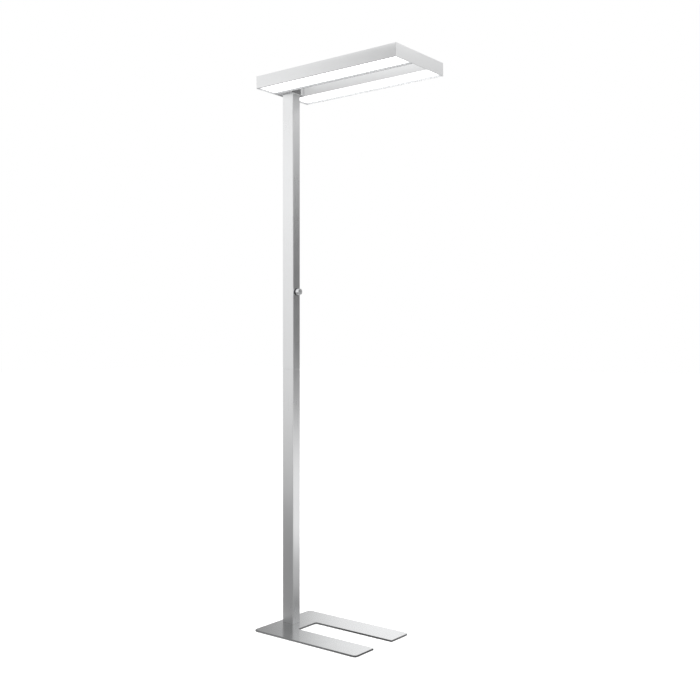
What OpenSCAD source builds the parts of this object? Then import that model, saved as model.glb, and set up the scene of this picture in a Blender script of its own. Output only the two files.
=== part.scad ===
// Office floor lamp: a flat two-wing LED head on a rectangular column, standing on a
// slotted steel base plate, with a push-and-turn dimmer knob on the column.
// Millimetres. +X points forwards, from the column towards the prong tips, +Y to the far
// side and +Z up. The origin is on the floor, under the middle of the head.

/* [Overall] */
// Height of the lamp, from the floor to the top of the head
lamp_h = 1950; // [1750:10:2200]
// Height of the seam between the two column tubes
seam_h = 918; // [600:2:1060]
// Height of the dimmer knob's axis
knob_h = 1196; // [1110:2:1290]

/* [Base plate] */
// Length of the base plate, front to back
base_l = 450; // [400:5:580]
// Width of the base plate
base_w = 300; // [250:5:400]
// Thickness of the base plate
base_t = 6; // [5:0.5:12]
// Radius of the plate's four outer corners
base_r = 12; // [4:1:30]
// Width of the slot between the prongs
slot_w = 100; // [60:5:160]
// Length of the slot, from its closed end to the prong tips
slot_l = 334; // [200:2:350]
// Radius in the closed corners of the slot
slot_r = 8; // [2:1:25]
// Radius on the prong tips' inner corners
tip_r = 3; // [1:0.5:10]
// Radius of a rubber foot pad
pad_r = 10; // [6:1:16]
// Height that a foot pad stands proud under the plate
pad_t = 1.5; // [1:0.25:4]
// Depth of the pad's seat in the plate
pad_seat = 1.5; // [0.5:0.25:3]
// Distance of a foot pad's centre from the plate's edges
pad_inset = 22; // [18:1:40]

/* [Column] */
// Column section, front to back
col_x = 50; // [46:1:58]
// Column section, across
col_y = 38; // [34:1:44]
// Wall of the column tubes
col_wall = 2; // [2:0.25:3]
// Outer corner radius of the column tubes
col_r = 2.5; // [1:0.25:5]
// Distance from the rear edge of the base plate to the column's rear face
col_setback = 17; // [15:1:40]
// Height of the cast foot inside the column
foot_h = 50; // [40:1:60]
// Length of the joiner inside each tube
joiner_reach = 80; // [70:1:120]
// Wall of the joiner
joiner_wall = 3.5; // [3:0.25:5]
// Thickness of the joiner's collar, seen as the seam
collar_t = 1.5; // [0.5:0.25:3]
// Depth of the collar behind the column's faces
collar_in = 0.5; // [0.25:0.25:1]
// Height of the cable inlet above the base plate
inlet_h = 70; // [64:1:90]
// Bore radius of the cable inlet grommet
inlet_r = 3.75; // [2.5:0.25:4.5]

/* [Head] */
// Length of the head
head_l = 600; // [590:10:760]
// Width of the head
head_w = 275; // [255:5:340]
// Thickness of the head
head_t = 44; // [41:1:60]
// Width of the open gap between the two wings
gap_w = 80; // [72:2:110]
// Wall of the wing profile
wing_wall = 2.5; // [2:0.25:3.5]
// Height of the web's underside above the lower lips
web_h = 19; // [17:0.5:19]
// Thickness of the wing's web
web_t = 2.5; // [2:0.25:3]
// Radius on the head's long outer edges
edge_r = 0.8; // [0.3:0.1:1.5]
// Thickness of an end cap
cap_t = 3; // [2:0.25:4]
// Radius on an end cap's upright edges
cap_r = 1.2; // [0.5:0.1:1.8]
// Depth of the lower diffuser above the lower lips
diffuser_in = 5.5; // [3:0.25:6]
// Thickness of the lower diffuser
diffuser_t = 2; // [1.5:0.25:3]
// Depth of the upper cover below the head's top
cover_in = 2; // [1:0.25:2]
// Thickness of the upper cover
cover_t = 2; // [1.5:0.25:2]
// Length that the column rises into the head
col_into_head = 27; // [26:0.5:27]

/* [Dimmer] */
// Diameter of the knob
knob_d = 22; // [18:0.5:23]
// Height of the knob's front above the column's face
knob_out = 18; // [16:0.5:26]
// Travel of the knob when it is pressed
press_travel = 1; // [0.5:0.1:1.2]
// Diameter of the bezel ring behind the knob
bezel_d = 26; // [25:0.5:30]
// Thickness of the bezel ring
bezel_t = 3; // [3:0.1:4]
// Radius of the dimmer's shaft
shaft_r = 3; // [2.5:0.25:3.5]

/* [Electrics] */
// Length of the LED driver
driver_l = 300; // [200:5:360]
// Depth of the LED driver, front to back
driver_d = 30; // [26:1:36]
// Width of the LED driver
driver_w = 21; // [16:1:24]
// Distance from the knob's axis up to the driver
driver_rise = 104; // [50:2:110]
// Width of an LED board
board_w = 60; // [56:1:66]
// Spacing of the LEDs along a board
led_pitch = 24; // [16:1:40]
// Distance of an LED row from the board's centre line
led_row = 14; // [8:1:20]
// Radius of the mains and output leads
lead_r = 3; // [2:0.25:3.5]
// Radius of the thin wing and control leads
thin_lead_r = 1.2; // [0.8:0.1:1.4]

/* [Fits] */
// Gap round a part that slides into a tube or a profile
slide_fit = 0.2; // [0.1:0.05:0.3]
// Radial gap between a screw or a lead and its hole
hole_fit = 0.05; // [0.03:0.01:0.1]
// Radial running clearance of the dimmer's shaft
run_fit = 0.05; // [0.03:0.01:0.08]

/* [Hidden] */
$fn = 48;
over = 1; // reach of a cutter past the face it opens

// Base and column
rear_x = -head_l / 2;
base_front = rear_x + base_l;
plate_z = pad_t;
plate_top = pad_t + base_t;
slot_x = base_front - slot_l;
pad_x = [rear_x + pad_inset, rear_x + base_l / 2, base_front - pad_inset];
pad_y = base_w / 2 - pad_inset;
col_rear = rear_x + col_setback;
col_front = col_rear + col_x;
col_mid = col_rear + col_x / 2;
tube_in_x = col_x - 2 * col_wall;
tube_in_y = col_y - 2 * col_wall;
tube_in_rear = col_rear + col_wall;
insert_x = tube_in_x - 2 * slide_fit;
insert_y = tube_in_y - 2 * slide_fit;
insert_r = 1.5;
seam_lo = seam_h - collar_t / 2;
seam_hi = seam_h + collar_t / 2;

// Head, with local heights measured from the lower lips
head_z = lamp_h - head_t;
wing_w = (head_w - gap_w) / 2;
wing_x0 = rear_x + cap_t;
wing_x1 = head_l / 2 - cap_t;
web_top = web_h + web_t;
end_gap = 0.3;
cover_z = head_t - cover_in - cover_t;
ledge_t = 1.5;
ledge_w = 2;
leg_t = 1.6;
leg_h = 5;
barb_h = 1.4;
barb_w = 0.7;
barb_rise = 3;
barb_gap = 0.2;

// Neck between the wings
neck_top_t = 4;
neck_cover_t = 1.5;
neck_cover_in = 2.5;
apron_t = 1.8;
neck_fit = 0.1;
neck_rear = wing_x0 + 6;
neck_front = col_front - 2;
neck_bottom = neck_cover_in + neck_cover_t;
neck_y = gap_w / 2 - neck_fit;
col_top = head_z + col_into_head;
neck_top = col_into_head + neck_top_t;
tongue_t = 5;
tongue_reach = 34;
tongue_x0 = neck_rear + 7;
tongue_x1 = neck_front - 5;
pocket_h = 11;
pocket_wall = 5;
pocket_x0 = neck_rear + pocket_wall;
pocket_x1 = neck_front - pocket_wall;
pocket_mid = (pocket_x0 + pocket_x1) / 2;
pocket_y0 = col_y / 2 + pocket_wall;
pocket_y1 = gap_w / 2 - pocket_wall;
lid_t = 2;
post_r = 2.5;
post_y = gap_w / 2 - 9;
post_in = 6;
flange_t = 2;
neck_screw_y = 9;
neck_screw_rise = 8;
neck_screw_past = 3;
snap_t = 1.5;
snap_l = 16;
snap_h = 6;
clamp_t = 4;
clamp_l = 40;
clamp_u0 = 5;
clamp_dx = 12;
clamp_u = [11, 26];
tongue_mid = (tongue_x0 + tongue_x1) / 2;

// Screws
m3_r = 1.5;
m4_r = 2;
m6_r = 3;
csk_r = 3.8;
csk_h = 1.7;
csk_len = 8;
base_csk_r = 5.9;
base_csk_h = 3.3;
base_screw_len = 24;
base_screw_dx = 15;
base_screw_dy = 7;
pan_h = 1.8;
pan_r = 2.75;
cap_head_r = 3.5;
cap_head_h = 2.6;
tab_l = 12;
tab_w = 40;
tab_t = 2.5;
tab_screw_dy = 12;
foot_screw_z = [plate_top + 16, plate_top + 36];
joiner_screw_z = [seam_h - 55, seam_h - 25, seam_h + 25, seam_h + 55];

// Inlet, terminal, driver and leads inside the column
inlet_z = plate_top + inlet_h;
grommet_wall = 1.8;
grommet_flange = 3.6;
flange_h = 1.5;
terminal_d = 18;
terminal_w = 22;
terminal_h = 30;
terminal_z = inlet_z + 34;
terminal_hole_r = 2.4;
tray_t = 2;
tray_w = 22;
tray_over = 16;
tray_screw_in = 7;
driver_z = knob_h + driver_rise;
driver_x = tube_in_rear + tray_t;
driver_lid_t = 1;
driver_edge = 2;
terminal_screw_z = [terminal_z + terminal_h / 2];
tray_screw_z = [
    driver_z - tray_over + tray_screw_in, driver_z + driver_l + tray_over - tray_screw_in
];
mains_x = col_rear + 13;
output_x = col_rear + 21;

// Dimmer, with local heights measured outwards from the column's front face
box_a = 22;
box_d = 17;
box_back = -col_wall - box_d;
cavity_d = 11;
cavity_r = 9.5;
bush_r = 5;
bush_out = 5;
bezel_floor = 0.8;
nut_t = 2.2;
nut_r = 7.5;
nut_gap = 0.4;
rotor_gap = 0.3;
hub_r = 5;
disc_r = 9;
disc_t = 3;
flat_in = 1;
back_t = 2;
post_gap = 4;
board_post_r = 1.6;
board_post_in = 8;
dim_board_t = 1.6;
dim_board_a = 20;
switch_a = 6.2;
plunger_r = 1.6;
plunger_h = 0.4;
end_play = 0.05;
knob_back = bezel_t + press_travel + 0.3;
knob_edge = 1;
dish_r = knob_d / 2 - 2.5;
dish_h = 0.4;
shaft_out = knob_out - 3.5;
recess_r = 6.5;
recess_h = bush_out + press_travel + 1.2 - knob_back;
grub_z = (knob_back + recess_h + shaft_out) / 2;
shaft_back = box_back - back_t + press_travel;
dim_board_z = box_back - back_t - post_gap;

// LED boards and their wiring
pcb_t = 1.6;
board_x0 = col_front + 5;
board_x1 = wing_x1 - tab_l - 5;
board_mid = wing_w / 2;
led_a = 3;
led_h = 0.8;
led_first = 40;
led_n = floor((board_x1 - board_x0 - led_first - 20) / led_pitch) + 1;
board_screw_dy = 24;
board_screw_in = 10;
board_screw_shift = 10;
link_in = 22;
plug_in = 3;
plug_l = 11;
plug_w = 10;
junction_l = 24;
junction_w = 18;
junction_h = head_t - lid_t - neck_top - 1.5;
wing_lead_z = neck_top + thin_lead_r + 0.8;
bend_r = 8;

// ---- Shared shapes ----

// The waste outside a corner of radius r, for a corner at the origin whose body lies
// towards +x and +y
module corner_waste(r) {
    difference() {
        translate([-over, -over]) square(r + over);
        translate([r, r]) circle(r);
    }
}

// A rectangle centred on the origin with four round corners
module round_rect(lx, ly, r) {
    difference() {
        square([lx, ly], center = true);
        for (sx = [-1, 1], sy = [-1, 1])
            scale([sx, sy]) translate([-lx / 2, -ly / 2]) corner_waste(r);
    }
}

// Turns a shape drawn upwards so that it points along +X from a place
module facing_front(x, y, z) {
    translate([x, y, z]) rotate([0, 90, 0]) children();
}

// Turns a shape drawn upwards so that it points along -X from a place
module facing_rear(x, y, z) {
    translate([x, y, z]) rotate([0, -90, 0]) children();
}

// A countersunk screw with its flat head at height 0 and its shank below, with a socket
module countersunk_screw(r, head_r, head_h, length) {
    difference() {
        rotate_extrude()
            polygon([[0, 0], [head_r, 0], [r, -head_h], [r, -length], [0, -length]]);
        translate([0, 0, -head_h * 0.7]) cylinder(r = r * 0.7, h = head_h, $fn = 6);
    }
}

// The hole for a countersunk screw, opened past the face
module countersunk_hole(r, head_r, head_h, length) {
    f = hole_fit;
    rotate_extrude()
        polygon([
            [0, over], [head_r + f, over], [head_r + f, 0], [r + f, -head_h],
            [r + f, -length - f], [0, -length - f]
        ]);
}

// A headed screw whose head stands on height 0, with its shank below, with a socket
module headed_screw(r, head_r, head_h, length) {
    difference() {
        rotate_extrude()
            polygon([
                [0, head_h], [head_r, head_h], [head_r, 0], [r, 0], [r, -length],
                [0, -length]
            ]);
        translate([0, 0, head_h * 0.4]) cylinder(r = r * 0.8, h = head_h, $fn = 6);
    }
}

// A plain hole from height 0 down, opened past both faces
module screw_hole(r, depth) {
    translate([0, 0, -depth - over]) cylinder(r = r + hole_fit, h = depth + 2 * over);
}

// ---- Base ----

module pad_places() {
    for (x = pad_x, s = [-1, 1]) translate([x, s * pad_y, 0]) children();
}

module base_screw_places() {
    for (sx = [-1, 1], sy = [-1, 1])
        translate([col_mid + sx * base_screw_dx, sy * base_screw_dy, plate_z])
            rotate([180, 0, 0]) children();
}

module base_outline() {
    difference() {
        translate([rear_x + base_l / 2, 0]) round_rect(base_l, base_w, base_r);
        translate([slot_x + slot_l, 0]) round_rect(2 * slot_l, slot_w, slot_r);
        for (s = [-1, 1])
            scale([1, s]) translate([base_front, slot_w / 2]) scale([-1, 1])
                corner_waste(tip_r);
    }
}

module base_plate() {
    color("#c4c6c9") difference() {
        translate([0, 0, plate_z]) linear_extrude(base_t) base_outline();
        pad_places() translate([0, 0, plate_z - over])
            cylinder(r = pad_r + slide_fit, h = pad_seat + over);
        base_screw_places() countersunk_hole(m6_r, base_csk_r, base_csk_h, base_screw_len);
    }
}

module foot_pads() {
    color("#2c2d2f") pad_places() cylinder(r = pad_r, h = pad_t + pad_seat);
}

module base_screws() {
    color("#77797c") base_screw_places()
        countersunk_screw(m6_r, base_csk_r, base_csk_h, base_screw_len);
}

// ---- Column ----

module column_screw_places(heights) {
    for (z = heights) facing_rear(col_rear, 0, z) children();
}

module column_hole_set(heights) {
    column_screw_places(heights) countersunk_hole(m4_r, csk_r, csk_h, csk_len);
}

module column_tube(z0, z1) {
    translate([col_mid, 0, z0]) linear_extrude(z1 - z0) difference() {
        round_rect(col_x, col_y, col_r);
        round_rect(tube_in_x, tube_in_y, max(col_r - col_wall, 0.5));
    }
}

module column_foot() {
    color("#9a9c9f") difference() {
        translate([col_mid, 0, plate_top])
            linear_extrude(foot_h) round_rect(insert_x, insert_y, insert_r);
        base_screw_places() countersunk_hole(m6_r, base_csk_r, base_csk_h, base_screw_len);
        column_hole_set(foot_screw_z);
    }
}

module lower_column() {
    color("#cfd1d4") difference() {
        column_tube(plate_top, seam_lo);
        column_hole_set(concat(foot_screw_z, terminal_screw_z, joiner_screw_z));
        facing_rear(tube_in_rear + over, 0, inlet_z)
            cylinder(r = inlet_r + grommet_wall + hole_fit, h = col_wall + 2 * over);
    }
}

module column_joiner() {
    color("#a7a9ac") difference() {
        union() {
            translate([col_mid, 0, seam_h - joiner_reach])
                linear_extrude(2 * joiner_reach) round_rect(insert_x, insert_y, insert_r);
            translate([col_mid, 0, seam_lo]) linear_extrude(collar_t)
                round_rect(col_x - 2 * collar_in, col_y - 2 * collar_in, col_r - collar_in);
        }
        translate([col_mid, 0, seam_h - joiner_reach - over])
            linear_extrude(2 * joiner_reach + 2 * over)
                square([insert_x - 2 * joiner_wall, insert_y - 2 * joiner_wall],
                       center = true);
        column_hole_set(joiner_screw_z);
    }
}

module upper_column() {
    color("#cfd1d4") difference() {
        column_tube(seam_hi, col_top);
        column_hole_set(concat(joiner_screw_z, tray_screw_z));
        neck_screw_places() screw_hole(m4_r, col_setback);
        at_knob() translate([0, 0, -col_wall - over])
            cylinder(r = bush_r + hole_fit, h = col_wall + 2 * over);
    }
}

module column_screws() {
    heights = concat(foot_screw_z, terminal_screw_z, joiner_screw_z, tray_screw_z);
    color("#8b8d90") column_screw_places(heights)
        countersunk_screw(m4_r, csk_r, csk_h, csk_len);
}

// A rubber bush in the column's rear wall, with a flange on both sides of the wall
module cable_grommet() {
    body_r = inlet_r + grommet_wall;
    rim_r = inlet_r + grommet_flange;
    color("#242527") facing_rear(col_rear, 0, inlet_z) rotate_extrude()
        polygon([
            [inlet_r, flange_h], [rim_r - 0.5, flange_h], [rim_r, flange_h - 0.5],
            [rim_r, 0], [body_r, 0], [body_r, -col_wall], [rim_r, -col_wall],
            [rim_r, -col_wall - flange_h], [inlet_r, -col_wall - flange_h]
        ]);
}

module mains_terminal() {
    color("#dadbd6") difference() {
        translate([tube_in_rear, -terminal_w / 2, terminal_z])
            cube([terminal_d, terminal_w, terminal_h]);
        for (i = [-1, 0, 1])
            translate([tube_in_rear + terminal_d - 5, i * terminal_w / 3.4,
                       terminal_z - over])
                cylinder(r = terminal_hole_r, h = 9 + over);
        column_hole_set(terminal_screw_z);
    }
}

module mains_lead() {
    z0 = terminal_z + terminal_h;
    color("#3a3b3d") translate([mains_x, 0, z0]) cylinder(r = lead_r, h = driver_z - z0);
}

module driver_tray() {
    color("#b9bbbd") difference() {
        translate([tube_in_rear, -tray_w / 2, driver_z - tray_over])
            cube([tray_t, tray_w, driver_l + 2 * tray_over]);
        column_hole_set(tray_screw_z);
    }
}

// The driver's housing: a base with a slightly wider cover along its front
module led_driver() {
    half = driver_w / 2;
    base = half - driver_lid_t;
    e = driver_edge;
    color("#e6e7e8") translate([driver_x, 0, driver_z]) linear_extrude(driver_l)
        polygon([
            [0, -base], [e, -base], [e, -half], [driver_d - e, -half],
            [driver_d, e - half], [driver_d, half - e], [driver_d - e, half],
            [e, half], [e, base], [0, base]
        ]);
}

module control_lead() {
    z0 = knob_h + dim_board_a / 2;
    color("#3a3b3d") translate([col_front + dim_board_z - dim_board_t / 2, 0, z0])
        cylinder(r = thin_lead_r, h = driver_z - z0);
}

module output_lead() {
    z0 = driver_z + driver_l;
    color("#3a3b3d") translate([output_x, 0, z0])
        cylinder(r = lead_r, h = head_z + neck_top - z0);
}

// ---- Dimmer ----

module at_knob() {
    facing_front(col_front, 0, knob_h) children();
}

module dimmer_housing() {
    color("#6a6c70") at_knob() difference() {
        union() {
            translate([0, 0, box_back]) linear_extrude(box_d) round_rect(box_a, box_a, 2);
            translate([0, 0, -col_wall]) cylinder(r = bush_r, h = col_wall + bush_out);
        }
        translate([0, 0, box_back - over]) cylinder(r = cavity_r, h = cavity_d + over);
        translate([0, 0, box_back])
            cylinder(r = shaft_r + run_fit, h = box_d + col_wall + bush_out + over);
    }
}

module dimmer_back_plate() {
    color("#9fa1a4") at_knob() difference() {
        union() {
            translate([0, 0, box_back - back_t])
                linear_extrude(back_t) round_rect(box_a, box_a, 2);
            for (sx = [-1, 1], sy = [-1, 1])
                translate([sx * board_post_in, sy * board_post_in, dim_board_z])
                    cylinder(r = board_post_r, h = post_gap);
        }
        translate([0, 0, box_back - back_t - over])
            cylinder(r = shaft_r + 0.6, h = back_t + 2 * over);
    }
}

module dimmer_board() {
    color("#2f6b45") at_knob() translate([0, 0, dim_board_z - dim_board_t])
        linear_extrude(dim_board_t) square(dim_board_a, center = true);
}

module push_switch() {
    tip = shaft_back - press_travel - end_play;
    color("#1f2022") at_knob() union() {
        translate([0, 0, dim_board_z])
            linear_extrude(tip - plunger_h - dim_board_z) square(switch_a, center = true);
        translate([0, 0, tip - plunger_h]) cylinder(r = plunger_r, h = plunger_h);
    }
}

module dimmer_bezel() {
    r = bezel_d / 2;
    color("#3b3d40") at_knob() rotate_extrude()
        polygon([
            [bush_r + hole_fit, 0], [r, 0], [r, bezel_t - 0.6], [r - 0.6, bezel_t],
            [nut_r + nut_gap, bezel_t], [nut_r + nut_gap, bezel_floor],
            [bush_r + hole_fit, bezel_floor]
        ]);
}

module dimmer_nut() {
    color("#b4b6b8") at_knob() difference() {
        translate([0, 0, bezel_floor]) cylinder(r = nut_r, h = nut_t, $fn = 6);
        translate([0, 0, bezel_floor - over])
            cylinder(r = bush_r + hole_fit, h = nut_t + 2 * over);
    }
}

// Cuts a flat along a bore or shaft of radius r, on its upper side
module shaft_flat(r, z0, length) {
    translate([-r - over, -r - over, z0]) cube([flat_in + over, 2 * (r + over), length]);
}

module dimmer_rotor() {
    hub_lo = box_back + rotor_gap;
    hub_hi = box_back + cavity_d - rotor_gap;
    color("#e8e4d8") at_knob() difference() {
        union() {
            translate([0, 0, hub_lo]) cylinder(r = hub_r, h = hub_hi - hub_lo);
            translate([0, 0, (hub_lo + hub_hi - disc_t) / 2])
                cylinder(r = disc_r, h = disc_t);
        }
        difference() {
            translate([0, 0, hub_lo - over])
                cylinder(r = shaft_r + run_fit, h = hub_hi - hub_lo + 2 * over);
            translate([-2 * run_fit, 0, 0])
                shaft_flat(shaft_r, hub_lo - 2 * over, hub_hi - hub_lo + 4 * over);
        }
    }
}

module dimmer_shaft() {
    flat_to = box_back + cavity_d + press_travel;
    color("#c9cbcd") at_knob() difference() {
        translate([0, 0, shaft_back]) cylinder(r = shaft_r, h = shaft_out - shaft_back);
        shaft_flat(shaft_r, shaft_back - over, flat_to - shaft_back + over);
    }
}

// A turned knob with a rounded rim, a shallow dished front and a recess over the bush
module dimmer_knob() {
    r = knob_d / 2;
    bore = shaft_r + hole_fit;
    color("#e3e5e7") at_knob() difference() {
        rotate_extrude() difference() {
            polygon([
                [0, knob_back], [r - 0.4, knob_back], [r, knob_back + 0.4],
                [r, knob_out], [dish_r + dish_h, knob_out], [dish_r, knob_out - dish_h],
                [0, knob_out - dish_h]
            ]);
            translate([r, knob_out]) scale([-1, -1]) corner_waste(knob_edge);
        }
        translate([0, 0, knob_back - over]) cylinder(r = recess_r, h = recess_h + over);
        translate([0, 0, knob_back]) cylinder(r = bore, h = shaft_out - knob_back);
        translate([0, 0, grub_z]) rotate([0, 90, 0]) cylinder(r = m3_r, h = r + over);
    }
}

module knob_grub_screw() {
    depth = knob_d / 2 - shaft_r - 0.4;
    color("#55575a") at_knob() translate([shaft_r + hole_fit, 0, grub_z])
        rotate([0, 90, 0]) difference() {
            cylinder(r = m3_r - hole_fit, h = depth);
            translate([0, 0, depth - 1.5]) cylinder(r = 0.8, h = 2, $fn = 6);
        }
}

// ---- Head: places in a wing, measured from the gap outwards and from the lips up ----

// Places a shape in the far wing (s = 1) or mirrors it into the near wing (s = -1)
module in_wing(s) {
    mirror([0, s < 0 ? 1 : 0, 0]) translate([0, gap_w / 2, head_z]) children();
}

module both_wings() {
    for (s = [-1, 1]) in_wing(s) children();
}

// Runs a cross-section drawn in (across, up) along the wing from x0 to x1
module along_wing(x0, x1) {
    translate([x0, 0, 0]) rotate([90, 0, 90]) linear_extrude(x1 - x0) children();
}

module clamp_screw_places() {
    for (s = [-1, 1], u = clamp_u) translate([tongue_mid + s * clamp_dx, u, 0]) children();
}

module tab_screw_places() {
    for (x = [wing_x0 + tab_l / 2, wing_x1 - tab_l / 2], s = [-1, 1])
        translate([x, board_mid + s * tab_screw_dy, 0]) children();
}

// Screws of a board; those of the lower board stand a little further in
module board_screw_places(shift) {
    inset = board_screw_in + shift;
    for (x = [board_x0 + inset, board_x1 - inset], s = [-1, 1])
        translate([x, board_mid + s * board_screw_dy, 0]) children();
}

module link_place() {
    translate([board_x0 + link_in, board_mid, 0]) children();
}

// ---- Head: wings and caps ----

// H-section with barb grooves for the lower diffuser and ledges for the upper cover
module wing_profile() {
    groove_z = diffuser_in + diffuser_t + barb_rise - barb_gap;
    groove_h = barb_h + 2 * barb_gap;
    groove_d = barb_w + barb_gap;
    difference() {
        union() {
            square([wing_wall, head_t]);
            difference() {
                translate([wing_w - wing_wall, 0]) square([wing_wall, head_t]);
                for (m = [0, 1])
                    translate([wing_w, m * head_t]) scale([-1, 1 - 2 * m])
                        corner_waste(edge_r);
            }
            translate([0, web_h]) square([wing_w, web_t]);
            translate([0, cover_z - ledge_t]) square([wing_wall + ledge_w, ledge_t]);
            translate([wing_w - wing_wall - ledge_w, cover_z - ledge_t])
                square([wing_wall + ledge_w, ledge_t]);
        }
        translate([wing_wall - groove_d, groove_z]) square([groove_d + 0.1, groove_h]);
        translate([wing_w - wing_wall - 0.1, groove_z]) square([groove_d + 0.1, groove_h]);
    }
}

module wing() {
    difference() {
        along_wing(wing_x0, wing_x1) wing_profile();
        translate([tongue_x0 - slide_fit, -over, web_top])
            cube([tongue_x1 - tongue_x0 + 2 * slide_fit, wing_wall + 2 * over,
                  tongue_t + slide_fit]);
        translate([output_x, -over, wing_lead_z]) rotate([-90, 0, 0])
            cylinder(r = thin_lead_r + hole_fit, h = wing_wall + 2 * over);
        clamp_screw_places() translate([0, 0, web_top]) screw_hole(m4_r, web_t);
        tab_screw_places() translate([0, 0, web_top]) screw_hole(m4_r, web_t);
        board_screw_places(0) translate([0, 0, web_top]) screw_hole(m3_r, web_t);
        board_screw_places(board_screw_shift)
            translate([0, 0, web_top]) screw_hole(m3_r, web_t);
        link_place() translate([0, 0, web_top]) screw_hole(thin_lead_r, web_t);
    }
}

module near_wing() {
    color("#dcdee0") in_wing(-1) wing();
}

module far_wing() {
    color("#dcdee0") in_wing(1) wing();
}

// The cap at the front end: a full-width plate with a fixing tab on each wing's web
module end_cap() {
    x = head_l / 2;
    intersection() {
        translate([0, 0, head_z]) linear_extrude(head_t) difference() {
            translate([x - cap_t, -head_w / 2]) square([cap_t, head_w]);
            for (s = [-1, 1])
                scale([1, s]) translate([x, -head_w / 2]) scale([-1, 1])
                    corner_waste(cap_r);
        }
        translate([x - cap_t, 0, head_z + head_t / 2]) rotate([90, 0, 90])
            linear_extrude(cap_t) round_rect(head_w, head_t, edge_r);
    }
    both_wings() difference() {
        translate([x - cap_t - tab_l, board_mid - tab_w / 2, web_top])
            cube([tab_l + over, tab_w, tab_t]);
        tab_screw_places() translate([0, 0, web_top + tab_t]) screw_hole(m4_r, tab_t);
    }
}

module front_end_cap() {
    color("#d6d8da") end_cap();
}

module rear_end_cap() {
    color("#d6d8da") mirror([1, 0, 0]) end_cap();
}

module end_cap_screws() {
    color("#8b8d90") both_wings() tab_screw_places() translate([0, 0, web_top + tab_t])
        headed_screw(m4_r, cap_head_r, cap_head_h, tab_t + web_t);
}

// ---- Head: diffusers and covers ----

// An opal panel with two upright legs whose barbs click into the wing's grooves
module diffuser_profile() {
    u0 = wing_wall + slide_fit;
    u1 = wing_w - u0;
    panel_top = diffuser_in + diffuser_t;
    translate([u0, diffuser_in]) square([u1 - u0, diffuser_t]);
    for (m = [0, 1]) translate([m * wing_w, 0]) mirror([m, 0]) {
        translate([u0, diffuser_in]) square([leg_t, diffuser_t + leg_h]);
        translate([u0 - barb_w, panel_top + barb_rise]) square([barb_w + leg_t, barb_h]);
    }
}

module lower_diffuser() {
    along_wing(wing_x0 + end_gap, wing_x1 - end_gap) diffuser_profile();
}

module near_lower_diffuser() {
    color("#ffffff") in_wing(-1) lower_diffuser();
}

module far_lower_diffuser() {
    color("#ffffff") in_wing(1) lower_diffuser();
}

module upper_cover() {
    u0 = wing_wall + slide_fit;
    translate([wing_x0 + end_gap, u0, cover_z])
        cube([wing_x1 - wing_x0 - 2 * end_gap, wing_w - 2 * u0, cover_t]);
}

module near_upper_cover() {
    color("#f4f6f8") in_wing(-1) upper_cover();
}

module far_upper_cover() {
    color("#f4f6f8") in_wing(1) upper_cover();
}

// ---- Head: LED boards and wiring ----

// A board with its face against the web at height 0 and its LEDs above
module led_board(shift) {
    difference() {
        union() {
            translate([board_x0, board_mid - board_w / 2, 0])
                cube([board_x1 - board_x0, board_w, pcb_t]);
            for (i = [0 : led_n - 1], s = [-1, 1])
                translate([board_x0 + led_first + i * led_pitch - led_a / 2,
                           board_mid + s * led_row - led_a / 2, pcb_t])
                    cube([led_a, led_a, led_h]);
        }
        board_screw_places(shift) translate([0, 0, pcb_t]) screw_hole(m3_r, pcb_t);
        link_place() translate([0, 0, pcb_t]) screw_hole(thin_lead_r, pcb_t);
    }
}

module upper_led_board() {
    translate([0, 0, web_top]) {
        led_board(0);
        translate([board_x0 + plug_in, board_mid - plug_w / 2, pcb_t])
            cube([plug_l, plug_w, wing_lead_z + thin_lead_r + 0.5 - web_top - pcb_t]);
    }
}

module lower_led_board() {
    translate([0, 0, web_h]) mirror([0, 0, 1]) led_board(board_screw_shift);
}

module near_lower_led_board() {
    color("#f7f7f4") in_wing(-1) lower_led_board();
}

module far_lower_led_board() {
    color("#f7f7f4") in_wing(1) lower_led_board();
}

module near_upper_led_board() {
    color("#f7f7f4") in_wing(-1) upper_led_board();
}

module far_upper_led_board() {
    color("#f7f7f4") in_wing(1) upper_led_board();
}

module board_screws() {
    length = pcb_t + web_t - 0.3;
    color("#8b8d90") both_wings() {
        board_screw_places(0) translate([0, 0, web_top + pcb_t])
            headed_screw(m3_r, pan_r, pan_h, length);
        board_screw_places(board_screw_shift) translate([0, 0, web_h - pcb_t])
            mirror([0, 0, 1]) headed_screw(m3_r, pan_r, pan_h, length);
    }
}

// Short feeds through each web, from the upper board to the lower one
module board_links() {
    color("#b0413a") both_wings() link_place() translate([0, 0, web_h - pcb_t])
        cylinder(r = thin_lead_r, h = web_t + 2 * pcb_t);
}

// From the junction block sideways into the wing, round a bend and along to the plug
module wing_lead() {
    u1 = board_mid - bend_r;
    x1 = board_x0 + plug_in;
    translate([0, 0, wing_lead_z]) {
        translate([output_x, junction_w / 2 - gap_w / 2, 0]) rotate([-90, 0, 0])
            cylinder(r = thin_lead_r, h = u1 + gap_w / 2 - junction_w / 2);
        translate([output_x + bend_r, u1, 0]) rotate([0, 0, 90])
            rotate_extrude(angle = 90) translate([bend_r, 0]) circle(thin_lead_r);
        translate([output_x + bend_r, board_mid, 0]) rotate([0, 90, 0])
            cylinder(r = thin_lead_r, h = x1 - output_x - bend_r);
    }
}

module near_wing_lead() {
    color("#e9e9e6") in_wing(-1) wing_lead();
}

module far_wing_lead() {
    color("#e9e9e6") in_wing(1) wing_lead();
}

// ---- Neck ----

module neck_screw_places() {
    for (y = [-neck_screw_y, neck_screw_y])
        facing_rear(neck_rear, y, head_z + neck_bottom + neck_screw_rise) children();
}

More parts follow.
